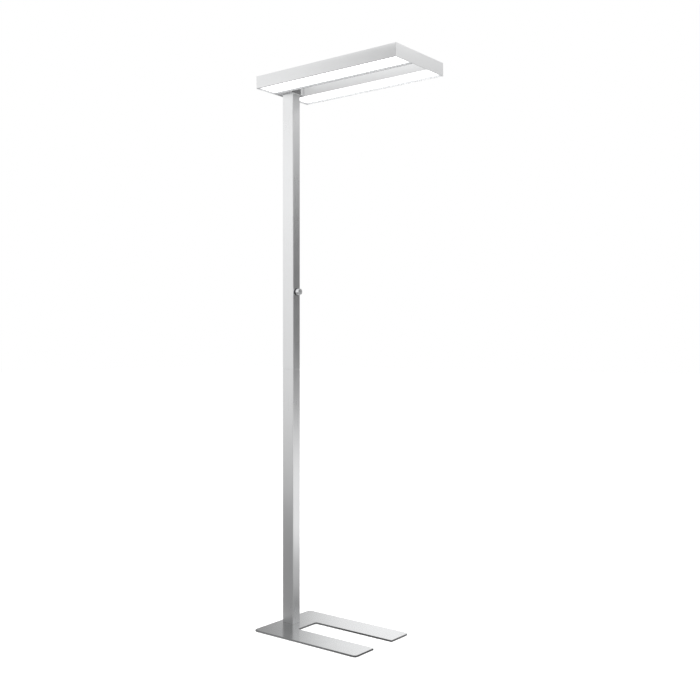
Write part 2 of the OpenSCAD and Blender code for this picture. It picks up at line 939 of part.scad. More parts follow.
// A casting that sits over the column's top and carries the wings on two tongues
module neck_bracket() {
    color("#85878b") difference() {
        union() {
            translate([neck_rear, -neck_y, head_z + neck_bottom])
                cube([neck_front - neck_rear, 2 * neck_y, neck_top - neck_bottom]);
            both_wings() translate([tongue_x0, -neck_fit - over, web_top])
                cube([tongue_x1 - tongue_x0, tongue_reach + neck_fit + over, tongue_t]);
        }
        translate([col_rear - slide_fit, -col_y / 2 - slide_fit, head_z])
            cube([col_x + over, col_y + 2 * slide_fit, col_into_head]);
        for (s = [-1, 1])
            translate([pocket_mid, s * (pocket_y0 + pocket_y1) / 2,
                       head_z + neck_bottom - over])
                linear_extrude(pocket_h + over)
                    round_rect(pocket_x1 - pocket_x0, pocket_y1 - pocket_y0, 2);
        translate([output_x, 0, head_z]) cylinder(r = lead_r + 1, h = head_t);
        both_wings() clamp_screw_places()
            translate([0, 0, web_top + tongue_t]) screw_hole(m4_r, tongue_t);
        neck_screw_places() screw_hole(m4_r, col_setback);
    }
}

module neck_screws() {
    color("#8b8d90") neck_screw_places()
        headed_screw(m4_r, cap_head_r, cap_head_h,
                     tube_in_rear + neck_screw_past - neck_rear);
}

// A cover below the casting, with an apron round the front of the column's top
module neck_bottom_cover() {
    x0 = wing_x0 + end_gap;
    apron_x = neck_front + slide_fit;
    x1 = col_front + slide_fit + apron_t;
    apron_y = col_y / 2 + slide_fit + apron_t;
    color("#5c5e62") difference() {
        union() {
            translate([x0, -neck_y, head_z + neck_cover_in])
                cube([neck_front - x0, 2 * neck_y, neck_cover_t]);
            translate([apron_x - 1, -apron_y, head_z + neck_cover_in])
                cube([x1 - apron_x + 1, 2 * apron_y, neck_cover_t]);
            translate([apron_x, -apron_y, head_z + neck_cover_in])
                cube([x1 - apron_x, 2 * apron_y, neck_top - neck_cover_in]);
            for (s = [-1, 1]) scale([1, s, 1])
                translate([pocket_mid - snap_l / 2, pocket_y1 - snap_t - slide_fit,
                           head_z + neck_cover_in])
                    cube([snap_l, snap_t, neck_cover_t + snap_h]);
        }
        translate([col_rear - slide_fit, -col_y / 2 - slide_fit, head_z])
            cube([col_x + 2 * slide_fit, col_y + 2 * slide_fit, head_t]);
    }
}

// A lid flush with the head's top, on four posts, with a flange that closes its front
module neck_top_cover() {
    x0 = wing_x0 + end_gap;
    post_h = head_t - lid_t - neck_top;
    color("#d6d8da") translate([0, 0, head_z]) {
        translate([x0, -neck_y, head_t - lid_t])
            cube([neck_front - x0, 2 * neck_y, lid_t]);
        translate([neck_front - flange_t, -neck_y, neck_top])
            cube([flange_t, 2 * neck_y, post_h + lid_t]);
        for (x = [neck_rear + post_in, neck_front - flange_t - post_in], s = [-1, 1])
            translate([x, s * post_y, neck_top]) cylinder(r = post_r, h = post_h + over);
    }
}

module junction_block() {
    color("#2a2b2d") translate([output_x - junction_l / 2, -junction_w / 2,
                                head_z + neck_top])
        cube([junction_l, junction_w, junction_h]);
}

module clamp_plates() {
    color("#8f9194") both_wings() difference() {
        translate([tongue_mid - clamp_l / 2, clamp_u0, web_h - clamp_t])
            cube([clamp_l, tongue_reach - clamp_u0, clamp_t]);
        clamp_screw_places() translate([0, 0, web_h]) screw_hole(m4_r, clamp_t);
    }
}

module clamp_screws() {
    color("#8b8d90") both_wings() clamp_screw_places()
        translate([0, 0, web_top + tongue_t])
            headed_screw(m4_r, cap_head_r, cap_head_h, tongue_t + web_t + clamp_t);
}

base_plate();
foot_pads();
base_screws();
column_foot();
lower_column();
column_joiner();
upper_column();
column_screws();
cable_grommet();
mains_terminal();
mains_lead();
driver_tray();
led_driver();
control_lead();
output_lead();
dimmer_housing();
dimmer_back_plate();
dimmer_board();
push_switch();
dimmer_bezel();
dimmer_nut();
dimmer_rotor();
dimmer_shaft();
dimmer_knob();
knob_grub_screw();
neck_bracket();
neck_screws();
neck_bottom_cover();
neck_top_cover();
junction_block();
clamp_plates();
clamp_screws();
near_wing();
far_wing();
front_end_cap();
rear_end_cap();
end_cap_screws();
near_lower_diffuser();
far_lower_diffuser();
near_upper_cover();
far_upper_cover();
near_lower_led_board();
far_lower_led_board();
near_upper_led_board();
far_upper_led_board();
board_screws();
board_links();
near_wing_lead();
far_wing_lead();
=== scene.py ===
"""Dresses the office floor lamp and sets up the studio that it is photographed in.

Sizes are in millimetres in the lamp's own frame, and become metres when a piece is
finished. +X points forwards, from the column to the prong tips, +Y to the far side and +Z
up, from the floor under the middle of the head.
"""

import logging
import math
from collections.abc import Callable, Sequence
from dataclasses import dataclass, field
from enum import Enum

import bmesh
import bpy
from mathutils import Matrix, Vector

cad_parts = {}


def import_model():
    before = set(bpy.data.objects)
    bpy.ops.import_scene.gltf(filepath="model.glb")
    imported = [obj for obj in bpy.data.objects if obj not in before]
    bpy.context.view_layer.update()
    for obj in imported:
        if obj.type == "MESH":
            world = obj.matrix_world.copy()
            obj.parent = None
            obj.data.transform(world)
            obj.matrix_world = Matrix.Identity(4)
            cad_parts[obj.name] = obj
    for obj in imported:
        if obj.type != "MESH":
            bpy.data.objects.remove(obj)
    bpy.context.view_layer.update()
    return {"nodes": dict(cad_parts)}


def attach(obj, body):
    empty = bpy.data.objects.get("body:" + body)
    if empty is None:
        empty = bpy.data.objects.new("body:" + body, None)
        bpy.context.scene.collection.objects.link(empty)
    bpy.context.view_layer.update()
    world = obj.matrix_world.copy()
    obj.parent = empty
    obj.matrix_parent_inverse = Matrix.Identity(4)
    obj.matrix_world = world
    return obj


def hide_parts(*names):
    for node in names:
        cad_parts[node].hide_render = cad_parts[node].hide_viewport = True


log = logging.getLogger("floor_lamp")

MM = 0.001

SHARP = math.radians(40)  # The least angle of an edge that can be rounded
CREASE = math.radians(32)  # The least angle of an edge that is drawn sharp
WELD = 1e-4  # Vertices this near become one
ALIGNED = 0.9  # The least part of a unit direction along an axis that counts as along it
ACROSS = 0.1  # The most that counts as square to it
CLOSE = 0.1  # How near a place must be to count as the one meant

Point = tuple[float, float]
Colour = tuple[float, float, float]
Socket = bpy.types.NodeSocket
Verts = list[bmesh.types.BMVert]
Test = Callable[[Vector, Vector], bool]


class Along(Enum):
    """The direction in which a metal was drawn, brushed or rolled."""

    X = (0.02, 1.0, 1.0)
    Z = (1.0, 1.0, 0.02)


class Body(Enum):
    """The bodies that the pieces ride on."""

    LAMP = "lamp"
    ROTOR = "dimmer_rotor"
    KNOB = "dimmer_knob"


class Side(Enum):
    """The two wings, by the sign of their Y."""

    NEAR = -1
    FAR = 1


# ---- Finishes ----


def feed(tree: bpy.types.NodeTree, socket: Socket, value: Socket | float | tuple) -> None:
    """Links a socket to an input, or sets the input's value."""
    if isinstance(value, Socket):
        tree.links.new(value, socket)
    else:
        socket.default_value = value


def maths(tree: bpy.types.NodeTree, operation: str, *values: Socket | float) -> Socket:
    """Adds a Math node.

    Args:
        tree: the node tree that it goes into.
        operation: what it works out.
        values: for each input in order, the socket that feeds it or its value.

    Returns:
        Its result.
    """
    made = tree.nodes.new("ShaderNodeMath")
    made.operation = operation
    for socket, value in zip(made.inputs, values):
        feed(tree, socket, value)
    return made.outputs[0]


class Shading:
    """A material's node tree, with short methods for the nodes that finishes share."""

    def __init__(self, name: str) -> None:
        """Starts a material with a Principled shader.

        Args:
            name: the material's name.
        """
        self.material = bpy.data.materials.new(name)
        self.material.use_nodes = True
        self.tree = self.material.node_tree
        self.tree.nodes.clear()
        self.output = self.tree.nodes.new("ShaderNodeOutputMaterial")
        self.shader = self.tree.nodes.new("ShaderNodeBsdfPrincipled")
        self.tree.links.new(self.shader.outputs[0], self.output.inputs[0])
        self.place = self.tree.nodes.new("ShaderNodeTexCoord").outputs["Object"]

    def node(self, kind: str, **links: Socket | float | tuple) -> bpy.types.Node:
        """Adds a node.

        Args:
            kind: the node's type, without its ShaderNode prefix.
            links: for each input, by name, the socket that feeds it or its value.

        Returns:
            The new node.
        """
        made = self.tree.nodes.new("ShaderNode" + kind)
        for name, value in links.items():
            feed(self.tree, made.inputs[name.replace("_", " ")], value)
        return made

    def set(self, name: str, value: Socket | float | tuple) -> None:
        """Feeds or sets one input of the shader.

        Args:
            name: the input's name.
            value: the socket that feeds it, or its value.
        """
        feed(self.tree, self.shader.inputs[name], value)

    def stretched(self, scale: Sequence[float], centre: Sequence[float] = (0, 0, 0)) -> Socket:
        """Object coordinates scaled per axis about a centre.

        Args:
            scale: one factor for each axis.
            centre: the point in metres that becomes the pattern's origin.

        Returns:
            The Mapping node's output.
        """
        moved = self.node("Mapping", Vector=self.place, Location=tuple(-c for c in centre))
        return self.node("Mapping", Vector=moved.outputs[0], Scale=tuple(scale)).outputs[0]

    def noise(self, where: Socket, scale: float, detail: float = 3, rough: float = 0.6) -> Socket:
        """A noise pattern.

        Args:
            where: the coordinates that it is read at.
            scale: cells per metre of those coordinates.
            detail: the number of octaves.
            rough: how strong the finer octaves are.

        Returns:
            The pattern's value, about 0.5.
        """
        made = self.node("TexNoise", Vector=where, Scale=scale, Detail=detail, Roughness=rough)
        return made.outputs["Fac"]

    def spread(
        self, value: Socket, low: float, high: float, start: float = 0.3, end: float = 0.7
    ) -> Socket:
        """Maps a pattern onto a range.

        Args:
            value: the pattern.
            low: what its start becomes.
            high: what its end becomes.
            start: the pattern's value that gives low.
            end: the pattern's value that gives high.

        Returns:
            The mapped value.
        """
        made = self.node("MapRange", Value=value)
        for name, number in (("From Min", start), ("From Max", end), ("To Min", low), ("To Max", high)):
            made.inputs[name].default_value = number
        return made.outputs["Result"]

    def ramp(self, value: Socket, stops: Sequence[tuple[float, Colour]]) -> Socket:
        """Turns a pattern into colours.

        Args:
            value: the pattern.
            stops: places from 0 to 1, each with its colour.

        Returns:
            The colour.
        """
        made = self.node("ValToRGB", Fac=value)
        elements = made.color_ramp.elements
        while len(elements) < len(stops):
            elements.new(0.5)
        for element, (position, colour) in zip(elements, stops):
            element.position = position
            element.color = (*colour, 1)
        return made.outputs["Color"]

    def bump(self, height: Socket, depth: float, strength: float = 1.0) -> None:
        """Roughens the surface's normal.

        Args:
            height: the pattern of heights.
            depth: the height in metres of a pattern value of 1.
            strength: how much of the relief shows.
        """
        made = self.node("Bump", Height=height, Distance=depth, Strength=strength)
        self.set("Normal", made.outputs["Normal"])


def shade(colour: Colour, factor: float) -> Colour:
    """A colour made lighter or darker by a factor."""
    return tuple(min(1.0, c * factor) for c in colour)


@dataclass(frozen=True)
class Finish:
    """What a maker specifies for a surface: the slot in the record, its colour and its gloss."""

    slot: str
    colour: Colour
    roughness: float
    metallic: float = 0.0

    def material(self) -> bpy.types.Material:
        """Makes the finish's material.

        Returns:
            The material, with its nodes.
        """
        shading = Shading(self.slot)
        shading.set("Metallic", self.metallic)
        self.dress(shading)
        return shading.material

    def dress(self, shading: Shading) -> None:
        """Adds the nodes that make the finish's detail.

        Args:
            shading: the material to add them to.
        """
        raise NotImplementedError

    def vary_colour(
        self, shading: Shading, pattern: Socket, low: float, high: float = 1.0, span: Point = (0.3, 0.7)
    ) -> None:
        """Varies the colour by a pattern.

        Args:
            shading: the material.
            pattern: the pattern.
            low: the colour's factor where the pattern is weak.
            high: its factor where the pattern is strong.
            span: the pattern's values that count as weak and strong.
        """
        stops = [(span[0], shade(self.colour, low)), (span[1], shade(self.colour, high))]
        shading.set("Base Color", shading.ramp(pattern, stops))

    def vary_gloss(
        self, shading: Shading, pattern: Socket, low: float, high: float, span: Point = (0.3, 0.7)
    ) -> None:
        """Varies the roughness by a pattern.

        Args:
            shading: the material.
            pattern: the pattern.
            low: the roughness's factor where the pattern is weak.
            high: its factor where the pattern is strong.
            span: the pattern's values that count as weak and strong.
        """
        low, high = self.roughness * low, self.roughness * high
        shading.set("Roughness", shading.spread(pattern, low, high, *span))


@dataclass(frozen=True)
class DrawnMetal(Finish):
    """Metal with fine lines along one direction, as extruding, brushing or rolling leave."""

    metallic: float = 1.0
    along: Along = Along.Z
    lines: float = 900.0
    contrast: float = 0.04
    relief: float = 0.000012
    share: float = 0.75

    def dress(self, shading: Shading) -> None:
        """Adds the lines, and the broad cloudiness of an anodised or ground face."""
        lines = shading.noise(shading.stretched(self.along.value), self.lines, 4, 0.65)
        clouds = shading.spread(shading.noise(shading.place, 7, 2), 0, 1 - self.share)
        pattern = maths(shading.tree, "MULTIPLY_ADD", lines, self.share, clouds)
        self.vary_colour(shading, pattern, 1 - self.contrast, 1 + self.contrast, (0.25, 0.75))
        self.vary_gloss(shading, pattern, 0.88, 1.12)
        shading.bump(lines, self.relief)


@dataclass(frozen=True)
class TurnedMetal(Finish):
    """Polished metal with the faint rings that a lathe leaves round an axis along X."""

    metallic: float = 1.0
    centre: Sequence[float] = (0.0, 0.0, 0.0)
    relief: float = 0.000003

    def dress(self, shading: Shading) -> None:
        """Adds the rings, and faint wiping marks in the polish."""
        where = shading.stretched((1, 1, 1), self.centre)
        rings = shading.node("TexWave", Vector=where, Scale=350, Distortion=0.6, Detail=2)
        rings.wave_type = "RINGS"
        rings.rings_direction = "X"
        wiped = shading.noise(shading.place, 160, 4)
        self.vary_colour(shading, wiped, 0.97)
        self.vary_gloss(shading, wiped, 0.8, 1.3)
        shading.bump(rings.outputs["Fac"], self.relief)


@dataclass(frozen=True)
class CastMetal(Finish):
    """Blasted die-cast alloy: a fine even tooth, with small pits."""

    metallic: float = 1.0

    def dress(self, shading: Shading) -> None:
        """Adds the tooth and the pits."""
        tooth = shading.noise(shading.place, 1400, 5, 0.7)
        pits = shading.node("TexVoronoi", Vector=shading.place, Scale=420)
        pits.feature = "SMOOTH_F1"
        sunk = shading.spread(pits.outputs["Distance"], 0, 0.6, 0.05, 0.35)
        self.vary_colour(shading, tooth, 0.88, 1.08)
        self.vary_gloss(shading, tooth, 0.9, 1.15)
        shading.bump(maths(shading.tree, "ADD", tooth, sunk), 0.00006)


@dataclass(frozen=True)
class PlatedMetal(Finish):
    """Zinc-plated steel: a cloudy passivated face with small bright and dull spangles."""

    metallic: float = 1.0
    tint: Colour = (0.62, 0.63, 0.58)

    def dress(self, shading: Shading) -> None:
        """Adds the spangle and the clouds."""
        spangle = shading.node("TexVoronoi", Vector=shading.place, Scale=700)
        clouds = shading.noise(shading.place, 90, 4)
        stops = [(0.32, self.tint), (0.5, self.colour), (0.7, shade(self.colour, 1.08))]
        shading.set("Base Color", shading.ramp(clouds, stops))
        self.vary_gloss(shading, spangle.outputs["Distance"], 0.75, 1.2, (0, 0.6))
        shading.bump(clouds, 0.00002)


@dataclass(frozen=True)
class Moulded(Finish):
    """Moulded plastic or rubber with a fine spark-eroded grain."""

    grain: float = 1800.0
    relief: float = 0.00004
    contrast: float = 0.05

    def dress(self, shading: Shading) -> None:
        """Adds the grain, and the slow flow marks of the moulding."""
        grain = shading.noise(shading.place, self.grain, 4, 0.6)
        flow = shading.noise(shading.place, 35, 2)
        self.vary_colour(shading, flow, 1 - self.contrast, 1 + self.contrast)
        self.vary_gloss(shading, grain, 0.88, 1.12)
        shading.bump(grain, self.relief)


@dataclass(frozen=True)
class Painted(Finish):
    """Powder coat: a soft orange-peel relief under an even satin colour."""

    def dress(self, shading: Shading) -> None:
        """Adds the orange peel and its fine speckle."""
        peel = shading.noise(shading.place, 650, 2, 0.4)
        speck = shading.noise(shading.place, 2600, 2)
        self.vary_colour(shading, speck, 0.93, 1.06)
        self.vary_gloss(shading, peel, 0.9, 1.1)
        shading.bump(peel, 0.00005)


@dataclass(frozen=True)
class ShadedApronPaint(Finish):
    """Satin grey paint, with painted shade darkening the upright apron in front of the column."""

    apron: tuple[float, float] = (-0.2353, 0.0213)
    blend: float = 0.0002
    # darker: the painted shade on the apron, as a factor on the colour
    darker: float = 0.28

    def dress(self, shading: Shading) -> None:
        """Tells the apron by its place and paints shade on it, darker than the rest."""
        parts = shading.node("SeparateXYZ", Vector=shading.place)
        sideways = maths(shading.tree, "ABSOLUTE", parts.outputs["Y"])
        front, half = self.apron
        ahead = shading.spread(parts.outputs["X"], 0, 1, front, front + self.blend)
        within = shading.spread(sideways, 1, 0, half, half + self.blend)
        both = maths(shading.tree, "MULTIPLY", ahead, within)
        self.vary_colour(shading, both, 1, self.darker, (0, 1))
        speckle = shading.noise(shading.place, 1400, 3)
        shading.set("Roughness", shading.spread(speckle, self.roughness - 0.05, self.roughness + 0.05))
        shading.bump(speckle, 0.00001, 0.5)


@dataclass(frozen=True)
class PrintedBoard(Finish):
    """A printed circuit board: solder mask over a pattern of tracks."""

    track: Colour = (0.5, 0.5, 0.5)
    pitch: float = 500.0

    def dress(self, shading: Shading) -> None:
        """Adds the tracks under the mask."""
        tracks = shading.node(
            "TexBrick", Vector=shading.place, Scale=self.pitch, Color1=(*self.colour, 1),
            Color2=(*shade(self.colour, 0.94), 1), Mortar=(*self.track, 1), Mortar_Size=0.03,
        )
        tracks.offset_frequency = 3
        gloss = shading.noise(shading.place, 300, 3)
        shading.set("Base Color", tracks.outputs["Color"])
        self.vary_gloss(shading, gloss, 0.85, 1.15)
        shading.bump(tracks.outputs["Fac"], 0.00003)


@dataclass(frozen=True)
class LitOpal(Finish):
    """Opal acrylic lit from behind: milky and even, but duller along its shaded edges."""

    glow: float = 1.0
    middle: float = 0.08875
    soft_from: float = 0.03
    soft_to: float = 0.046

    def dress(self, shading: Shading) -> None:
        """Adds the glow, its slow variation and the extruded face's faint lines."""
        lines = shading.noise(shading.stretched(Along.X.value), 700, 3)
        clouds = shading.noise(shading.place, 18, 2)
        self.vary_colour(shading, clouds, 0.96)
        self.vary_gloss(shading, lines, 0.9, 1.1)
        sideways = shading.node("SeparateXYZ", Vector=shading.place).outputs["Y"]
        off = maths(shading.tree, "SUBTRACT", maths(shading.tree, "ABSOLUTE", sideways), self.middle)
        off = maths(shading.tree, "ABSOLUTE", off)
        edge = shading.spread(off, 0, 1, self.soft_from, self.soft_to)
        stops = [(0, (1.0, 1.0, 1.0)), (0.6, (0.8, 0.81, 0.82)), (1, (0.3, 0.31, 0.32))]
        shading.set("Emission Color", shading.ramp(edge, stops))
        shading.set("Emission Strength", self.glow)
        shading.bump(lines, 0.00001)


@dataclass(frozen=True)
class ClearAcrylic(Finish):
    """Clear extruded acrylic with faint drawing lines."""

    def dress(self, shading: Shading) -> None:
        """Adds the lines and the wiped, slightly uneven gloss."""
        lines = shading.noise(shading.stretched(Along.X.value), 600, 3)
        clouds = shading.noise(shading.place, 25, 3)
        self.vary_colour(shading, clouds, 0.985)
        self.vary_gloss(shading, clouds, 0.7, 1.3)
        shading.set("Transmission Weight", 1.0)
        shading.set("IOR", 1.49)
        shading.bump(lines, 0.000004)


@dataclass(frozen=True)
class LedLens(Finish):
    """The yellow phosphor window of a lit white LED."""

    glow: float = 1.0

    def dress(self, shading: Shading) -> None:
        """Adds the phosphor's grain and its glow."""
        grain = shading.noise(shading.place, 3000, 3)
        self.vary_colour(shading, grain, 0.9)
        self.vary_gloss(shading, grain, 0.9, 1.1)
        stops = [(0.3, (1.0, 0.95, 0.8)), (0.7, (1.0, 0.98, 0.9))]
        shading.set("Emission Color", shading.ramp(grain, stops))
        shading.set("Emission Strength", self.glow)
        shading.bump(grain, 0.00002)


@dataclass
class Catalogue:
    """Every finish of the lamp, made once and handed out by slot."""

    knob_axis: Sequence[float] = (-0.233, 0.0, 1.196)
    made: dict[str, bpy.types.Material] = field(default_factory=dict)

    def finishes(self) -> list[Finish]:
        """Lists the lamp's finishes.

        Returns:
            One finish for each slot of the record, and those of the knob's face, the painted
            light and shade on the wings' and caps' lips, and the LED windows.
        """
        return [
            DrawnMetal(
                "brushed_plate", (0.52, 0.525, 0.53), 0.2,
                along=Along.X, lines=1100, contrast=0.05, relief=0.00001,
            ),
            DrawnMetal("satin_aluminium", (0.86, 0.865, 0.87), 0.3, contrast=0.03),
            DrawnMetal("head_aluminium", (0.87, 0.875, 0.88), 0.35, along=Along.X, contrast=0.02),
            CastMetal("cast_alloy", (0.86, 0.865, 0.87), 0.5),
            # the neck cover's grey paint, with painted shade on its apron
            ShadedApronPaint("dark_grey_paint", (0.41, 0.413, 0.42), 0.6),
            PlatedMetal("zinc_steel", (0.66, 0.68, 0.70), 0.34),
            TurnedMetal("polished_chrome", (0.84, 0.85, 0.86), 0.09, centre=self.knob_axis),
            TurnedMetal("turned_face", (0.84, 0.85, 0.86), 0.42, centre=self.knob_axis),
            Moulded("dark_plastic", (0.035, 0.036, 0.039), 0.38),
            Moulded("black_plastic", (0.018, 0.018, 0.02), 0.45),
            Moulded("white_plastic", (0.78, 0.775, 0.75), 0.42),
            Painted("driver_case", (0.80, 0.81, 0.82), 0.4),
            # Painted light and shade: greyer copies of the head's metal for the lips, darker on the near
            # wing and the rear cap and lighter on the far wing, for how light falls on each
            Painted("lip_painted_shade", (0.62, 0.625, 0.63), 0.55),
            Painted("lip_painted_light_shade", (0.73, 0.735, 0.74), 0.55),
            Painted("lip_painted_deep_shade", (0.49, 0.493, 0.5), 0.55),
            Painted("lip_painted_shadow", (0.26, 0.263, 0.27), 0.6),
            PrintedBoard("circuit_board", (0.02, 0.14, 0.06), 0.35, track=(0.05, 0.25, 0.1)),
            PrintedBoard("white_board", (0.86, 0.865, 0.86), 0.4, track=(0.78, 0.785, 0.79), pitch=60),
            Moulded("black_rubber", (0.02, 0.02, 0.022), 0.78, grain=900, relief=0.00008),
            Moulded("black_lead", (0.025, 0.025, 0.028), 0.55, grain=1200),
            Moulded("white_lead", (0.8, 0.8, 0.78), 0.5, grain=1200),
            LitOpal("opal_diffuser", (0.92, 0.925, 0.93), 0.3, glow=1.1),
            ClearAcrylic("clear_cover", (0.97, 0.98, 0.985), 0.1),
            LedLens("led_window", (0.95, 0.82, 0.35), 0.35, glow=2.0),
        ]

    def stock(self) -> None:
        """Makes every finish's material."""
        self.made = {finish.slot: finish.material() for finish in self.finishes()}
        log.info("%d finishes", len(self.made))


# ---- Shaping ----


@dataclass
class Shape:
    """A solid being modelled, in millimetres."""

    bm: bmesh.types.BMesh = field(default_factory=bmesh.new)

    def prism(self, outline: Sequence[Point], depth: float, turn: Matrix | None = None) -> Verts:
        """Extrudes a flat outline upwards from height 0.

        Args:
            outline: the outline's corners, in order.
            depth: how far it is extruded.
            turn: places the prism, if given.

        Returns:
            The new vertices.
        """
        face = self.bm.faces.new([self.bm.verts.new((x, y, 0)) for x, y in outline])
        grown = bmesh.ops.extrude_face_region(self.bm, geom=[face])
        top = [g for g in grown["geom"] if isinstance(g, bmesh.types.BMVert)]
        bmesh.ops.translate(self.bm, vec=(0, 0, depth), verts=top)
        verts = list(face.verts) + top
        self.face_outwards(verts)
        if turn is not None:
            bmesh.ops.transform(self.bm, matrix=turn, verts=verts)
        return verts

    def face_outwards(self, verts: Verts) -> None:
        """Turns the faces round some vertices outwards."""
        faces = list(dict.fromkeys(f for v in verts for f in v.link_faces))
        bmesh.ops.recalc_face_normals(self.bm, faces=faces)

    def block(self, low: Sequence[float], high: Sequence[float]) -> Verts:
        """Adds a box.

        Args:
            low: its lowest corner.
            high: its highest corner.

        Returns:
            Its vertices.
        """
        size = [h - l for l, h in zip(low, high)]
        middle = [(h + l) / 2 for l, h in zip(low, high)]
        made = bmesh.ops.create_cube(self.bm, size=1, matrix=Matrix.LocRotScale(middle, None, size))
        return made["verts"]

    def cylinder(self, radius: float, depth: float, turn: Matrix, sides: int = 48) -> Verts:
        """Adds a cylinder that stands on height 0.

        Args:
            radius: its radius.
            depth: its height.
            turn: places it.
            sides: its number of sides.

        Returns:
            Its vertices.
        """
        lift = Matrix.Translation((0, 0, depth / 2))
        made = bmesh.ops.create_cone(
            self.bm, cap_ends=True, cap_tris=False, segments=sides, radius1=radius, radius2=radius,
            depth=depth, matrix=turn @ lift,
        )
        return made["verts"]

    def turned(
        self, profile: Sequence[Point], turn: Matrix, closed: bool = False, steps: int = 64
    ) -> Verts:
        """Spins a profile of radius and height round the upward axis.

        Args:
            profile: the profile's points.
            turn: places the turned shape.
            closed: whether the profile's last point joins its first, as for a ring.
            steps: the number of steps round.

        Returns:
            The turned shape's vertices.
        """
        old = set(self.bm.verts)
        verts = [self.bm.verts.new((r, 0, h)) for r, h in profile]
        pairs = list(zip(verts, verts[1:])) + ([(verts[-1], verts[0])] if closed else [])
        edges = [self.bm.edges.new(pair) for pair in pairs]
        bmesh.ops.spin(
            self.bm, geom=verts + edges, cent=(0, 0, 0), axis=(0, 0, 1), angle=2 * math.pi,
            steps=steps, use_merge=True, use_duplicate=False,
        )
        new = [v for v in self.bm.verts if v not in old]
        bmesh.ops.remove_doubles(self.bm, verts=new, dist=WELD)
        new = [v for v in self.bm.verts if v not in old]
        self.face_outwards(new)
        bmesh.ops.transform(self.bm, matrix=turn, verts=new)
        return new

    def round_edges(self, chosen: Test, radius: float, segments: int) -> None:
        """Rounds the edges that a test picks.

        Args:
            chosen: takes an edge's middle and its unit direction, and says whether to round it.
            radius: the rounding's radius.
            segments: the number of facets across it.
        """
        edges = []
        for edge in self.bm.edges:
            a, b = (v.co for v in edge.verts)
            if edge.calc_face_angle(0) > SHARP and chosen((a + b) / 2, (b - a).normalized()):
                edges.append(edge)
        bmesh.ops.bevel(
            self.bm, geom=edges, offset=radius, offset_type="OFFSET", segments=segments, profile=0.5,
            affect="EDGES", material=-1, clamp_overlap=True,
        )

    def carve(self, tools: "Shape", operation: str = "DIFFERENCE") -> None:
        """Takes other solids out of this one, or joins them to it.

        Args:
            tools: the solids to take out or join, which don't meet each other.
            operation: "DIFFERENCE", or "UNION" for solids that reach into this one.
        """
        pair = []
        for shape in (self, tools):
            mesh = bpy.data.meshes.new("carving")
            shape.bm.to_mesh(mesh)
            pair.append(bpy.data.objects.new("carving", mesh))
            bpy.context.scene.collection.objects.link(pair[-1])
        cut = pair[0].modifiers.new("cut", "BOOLEAN")
        cut.operation, cut.solver, cut.object = operation, "EXACT", pair[1]
        graph = bpy.context.evaluated_depsgraph_get()
        result = bpy.data.meshes.new_from_object(pair[0].evaluated_get(graph))
        self.bm.clear()
        self.bm.from_mesh(result)
        for made in pair:
            bpy.data.meshes.remove(made.data)
        bpy.data.meshes.remove(result)
        tools.bm.free()

    def paint(self, index: int, chosen: Test) -> None:
        """Gives the faces that a test picks another material.

        Args:
            index: the material's index in the piece.
            chosen: takes a face's middle and its normal, and says whether to paint it.
        """
        self.bm.normal_update()
        for face in self.bm.faces:
            if chosen(face.calc_center_median(), face.normal):
                face.material_index = index

    def split(self, height: float) -> None:
        """Cuts the faces along a level, and keeps both halves."""
        geometry = [*self.bm.verts, *self.bm.edges, *self.bm.faces]
        bmesh.ops.bisect_plane(
            self.bm, geom=geometry, dist=WELD, plane_co=(0, 0, height), plane_no=(0, 0, 1)
        )

    def mirrored(self, side: Side) -> None:
        """Turns a far-side shape into its near-side twin where asked, faces still outwards."""
        if side is Side.NEAR:
            bmesh.ops.scale(self.bm, vec=(1, -1, 1), verts=self.bm.verts)
            bmesh.ops.reverse_faces(self.bm, faces=self.bm.faces)


@dataclass
class Workshop:
    """Finishes shapes into pieces: metres, materials picked by slot, and the body they ride on."""

    catalogue: Catalogue
    nodes: dict[str, bpy.types.Object]

    def deliver(
        self, shape: Shape, name: str, slot: str, body: Body = Body.LAMP, extra: Sequence[str] = ()
    ) -> None:
        """Turns a shape into the piece that stands for a CAD node.

        Args:
            shape: the shape, which is used up.
            name: the node's name, and with "dressed_" in front the piece's.
            slot: the slot of its first material.
            body: the body that it rides on.
            extra: the finishes of its other materials, by index.
        """
        bm = shape.bm
        bmesh.ops.remove_doubles(bm, verts=bm.verts, dist=WELD)
        bmesh.ops.recalc_face_normals(bm, faces=bm.faces)
        bmesh.ops.scale(bm, vec=(MM, MM, MM), verts=bm.verts)
        mesh = bpy.data.meshes.new("dressed_" + name)
        bm.to_mesh(mesh)
        bm.free()
        for polygon in mesh.polygons:
            polygon.use_smooth = True
        mesh.set_sharp_from_angle(angle=CREASE)
        for material in (slot, *extra):
            mesh.materials.append(self.catalogue.made[material])
        piece = bpy.data.objects.new("dressed_" + name, mesh)
        bpy.context.scene.collection.objects.link(piece)
        even = piece.modifiers.new("even_normals", "WEIGHTED_NORMAL")
        even.keep_sharp = True
        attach(piece, body.value)
        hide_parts(name)
        log.info("%s: %d faces, %s", name, len(mesh.polygons), slot)

    def keep(self, slot: str, *names: str) -> None:
        """Dresses CAD nodes that stay as they are.

        Args:
            slot: the slot of their finish.
            names: the nodes.
        """
        for name in names:
            mesh = self.nodes[name].data
            mesh.materials.clear()
            mesh.materials.append(self.catalogue.made[slot])
            log.info("%s: kept, %s", name, slot)


def standing(x: float, y: float, z: float) -> Matrix:
    """Stands an upright shape at a place."""
    return Matrix.Translation((x, y, z))


def facing_near(x: float, y: float, z: float) -> Matrix:
    """Points an upright shape along -Y from a place."""
    return Matrix.Translation((x, y, z)) @ Matrix.Rotation(math.radians(90), 4, "X")


def facing_front(x: float, y: float, z: float) -> Matrix:
    """Points an upright shape along +X from a place."""
    return Matrix.Translation((x, y, z)) @ Matrix.Rotation(math.radians(90), 4, "Y")


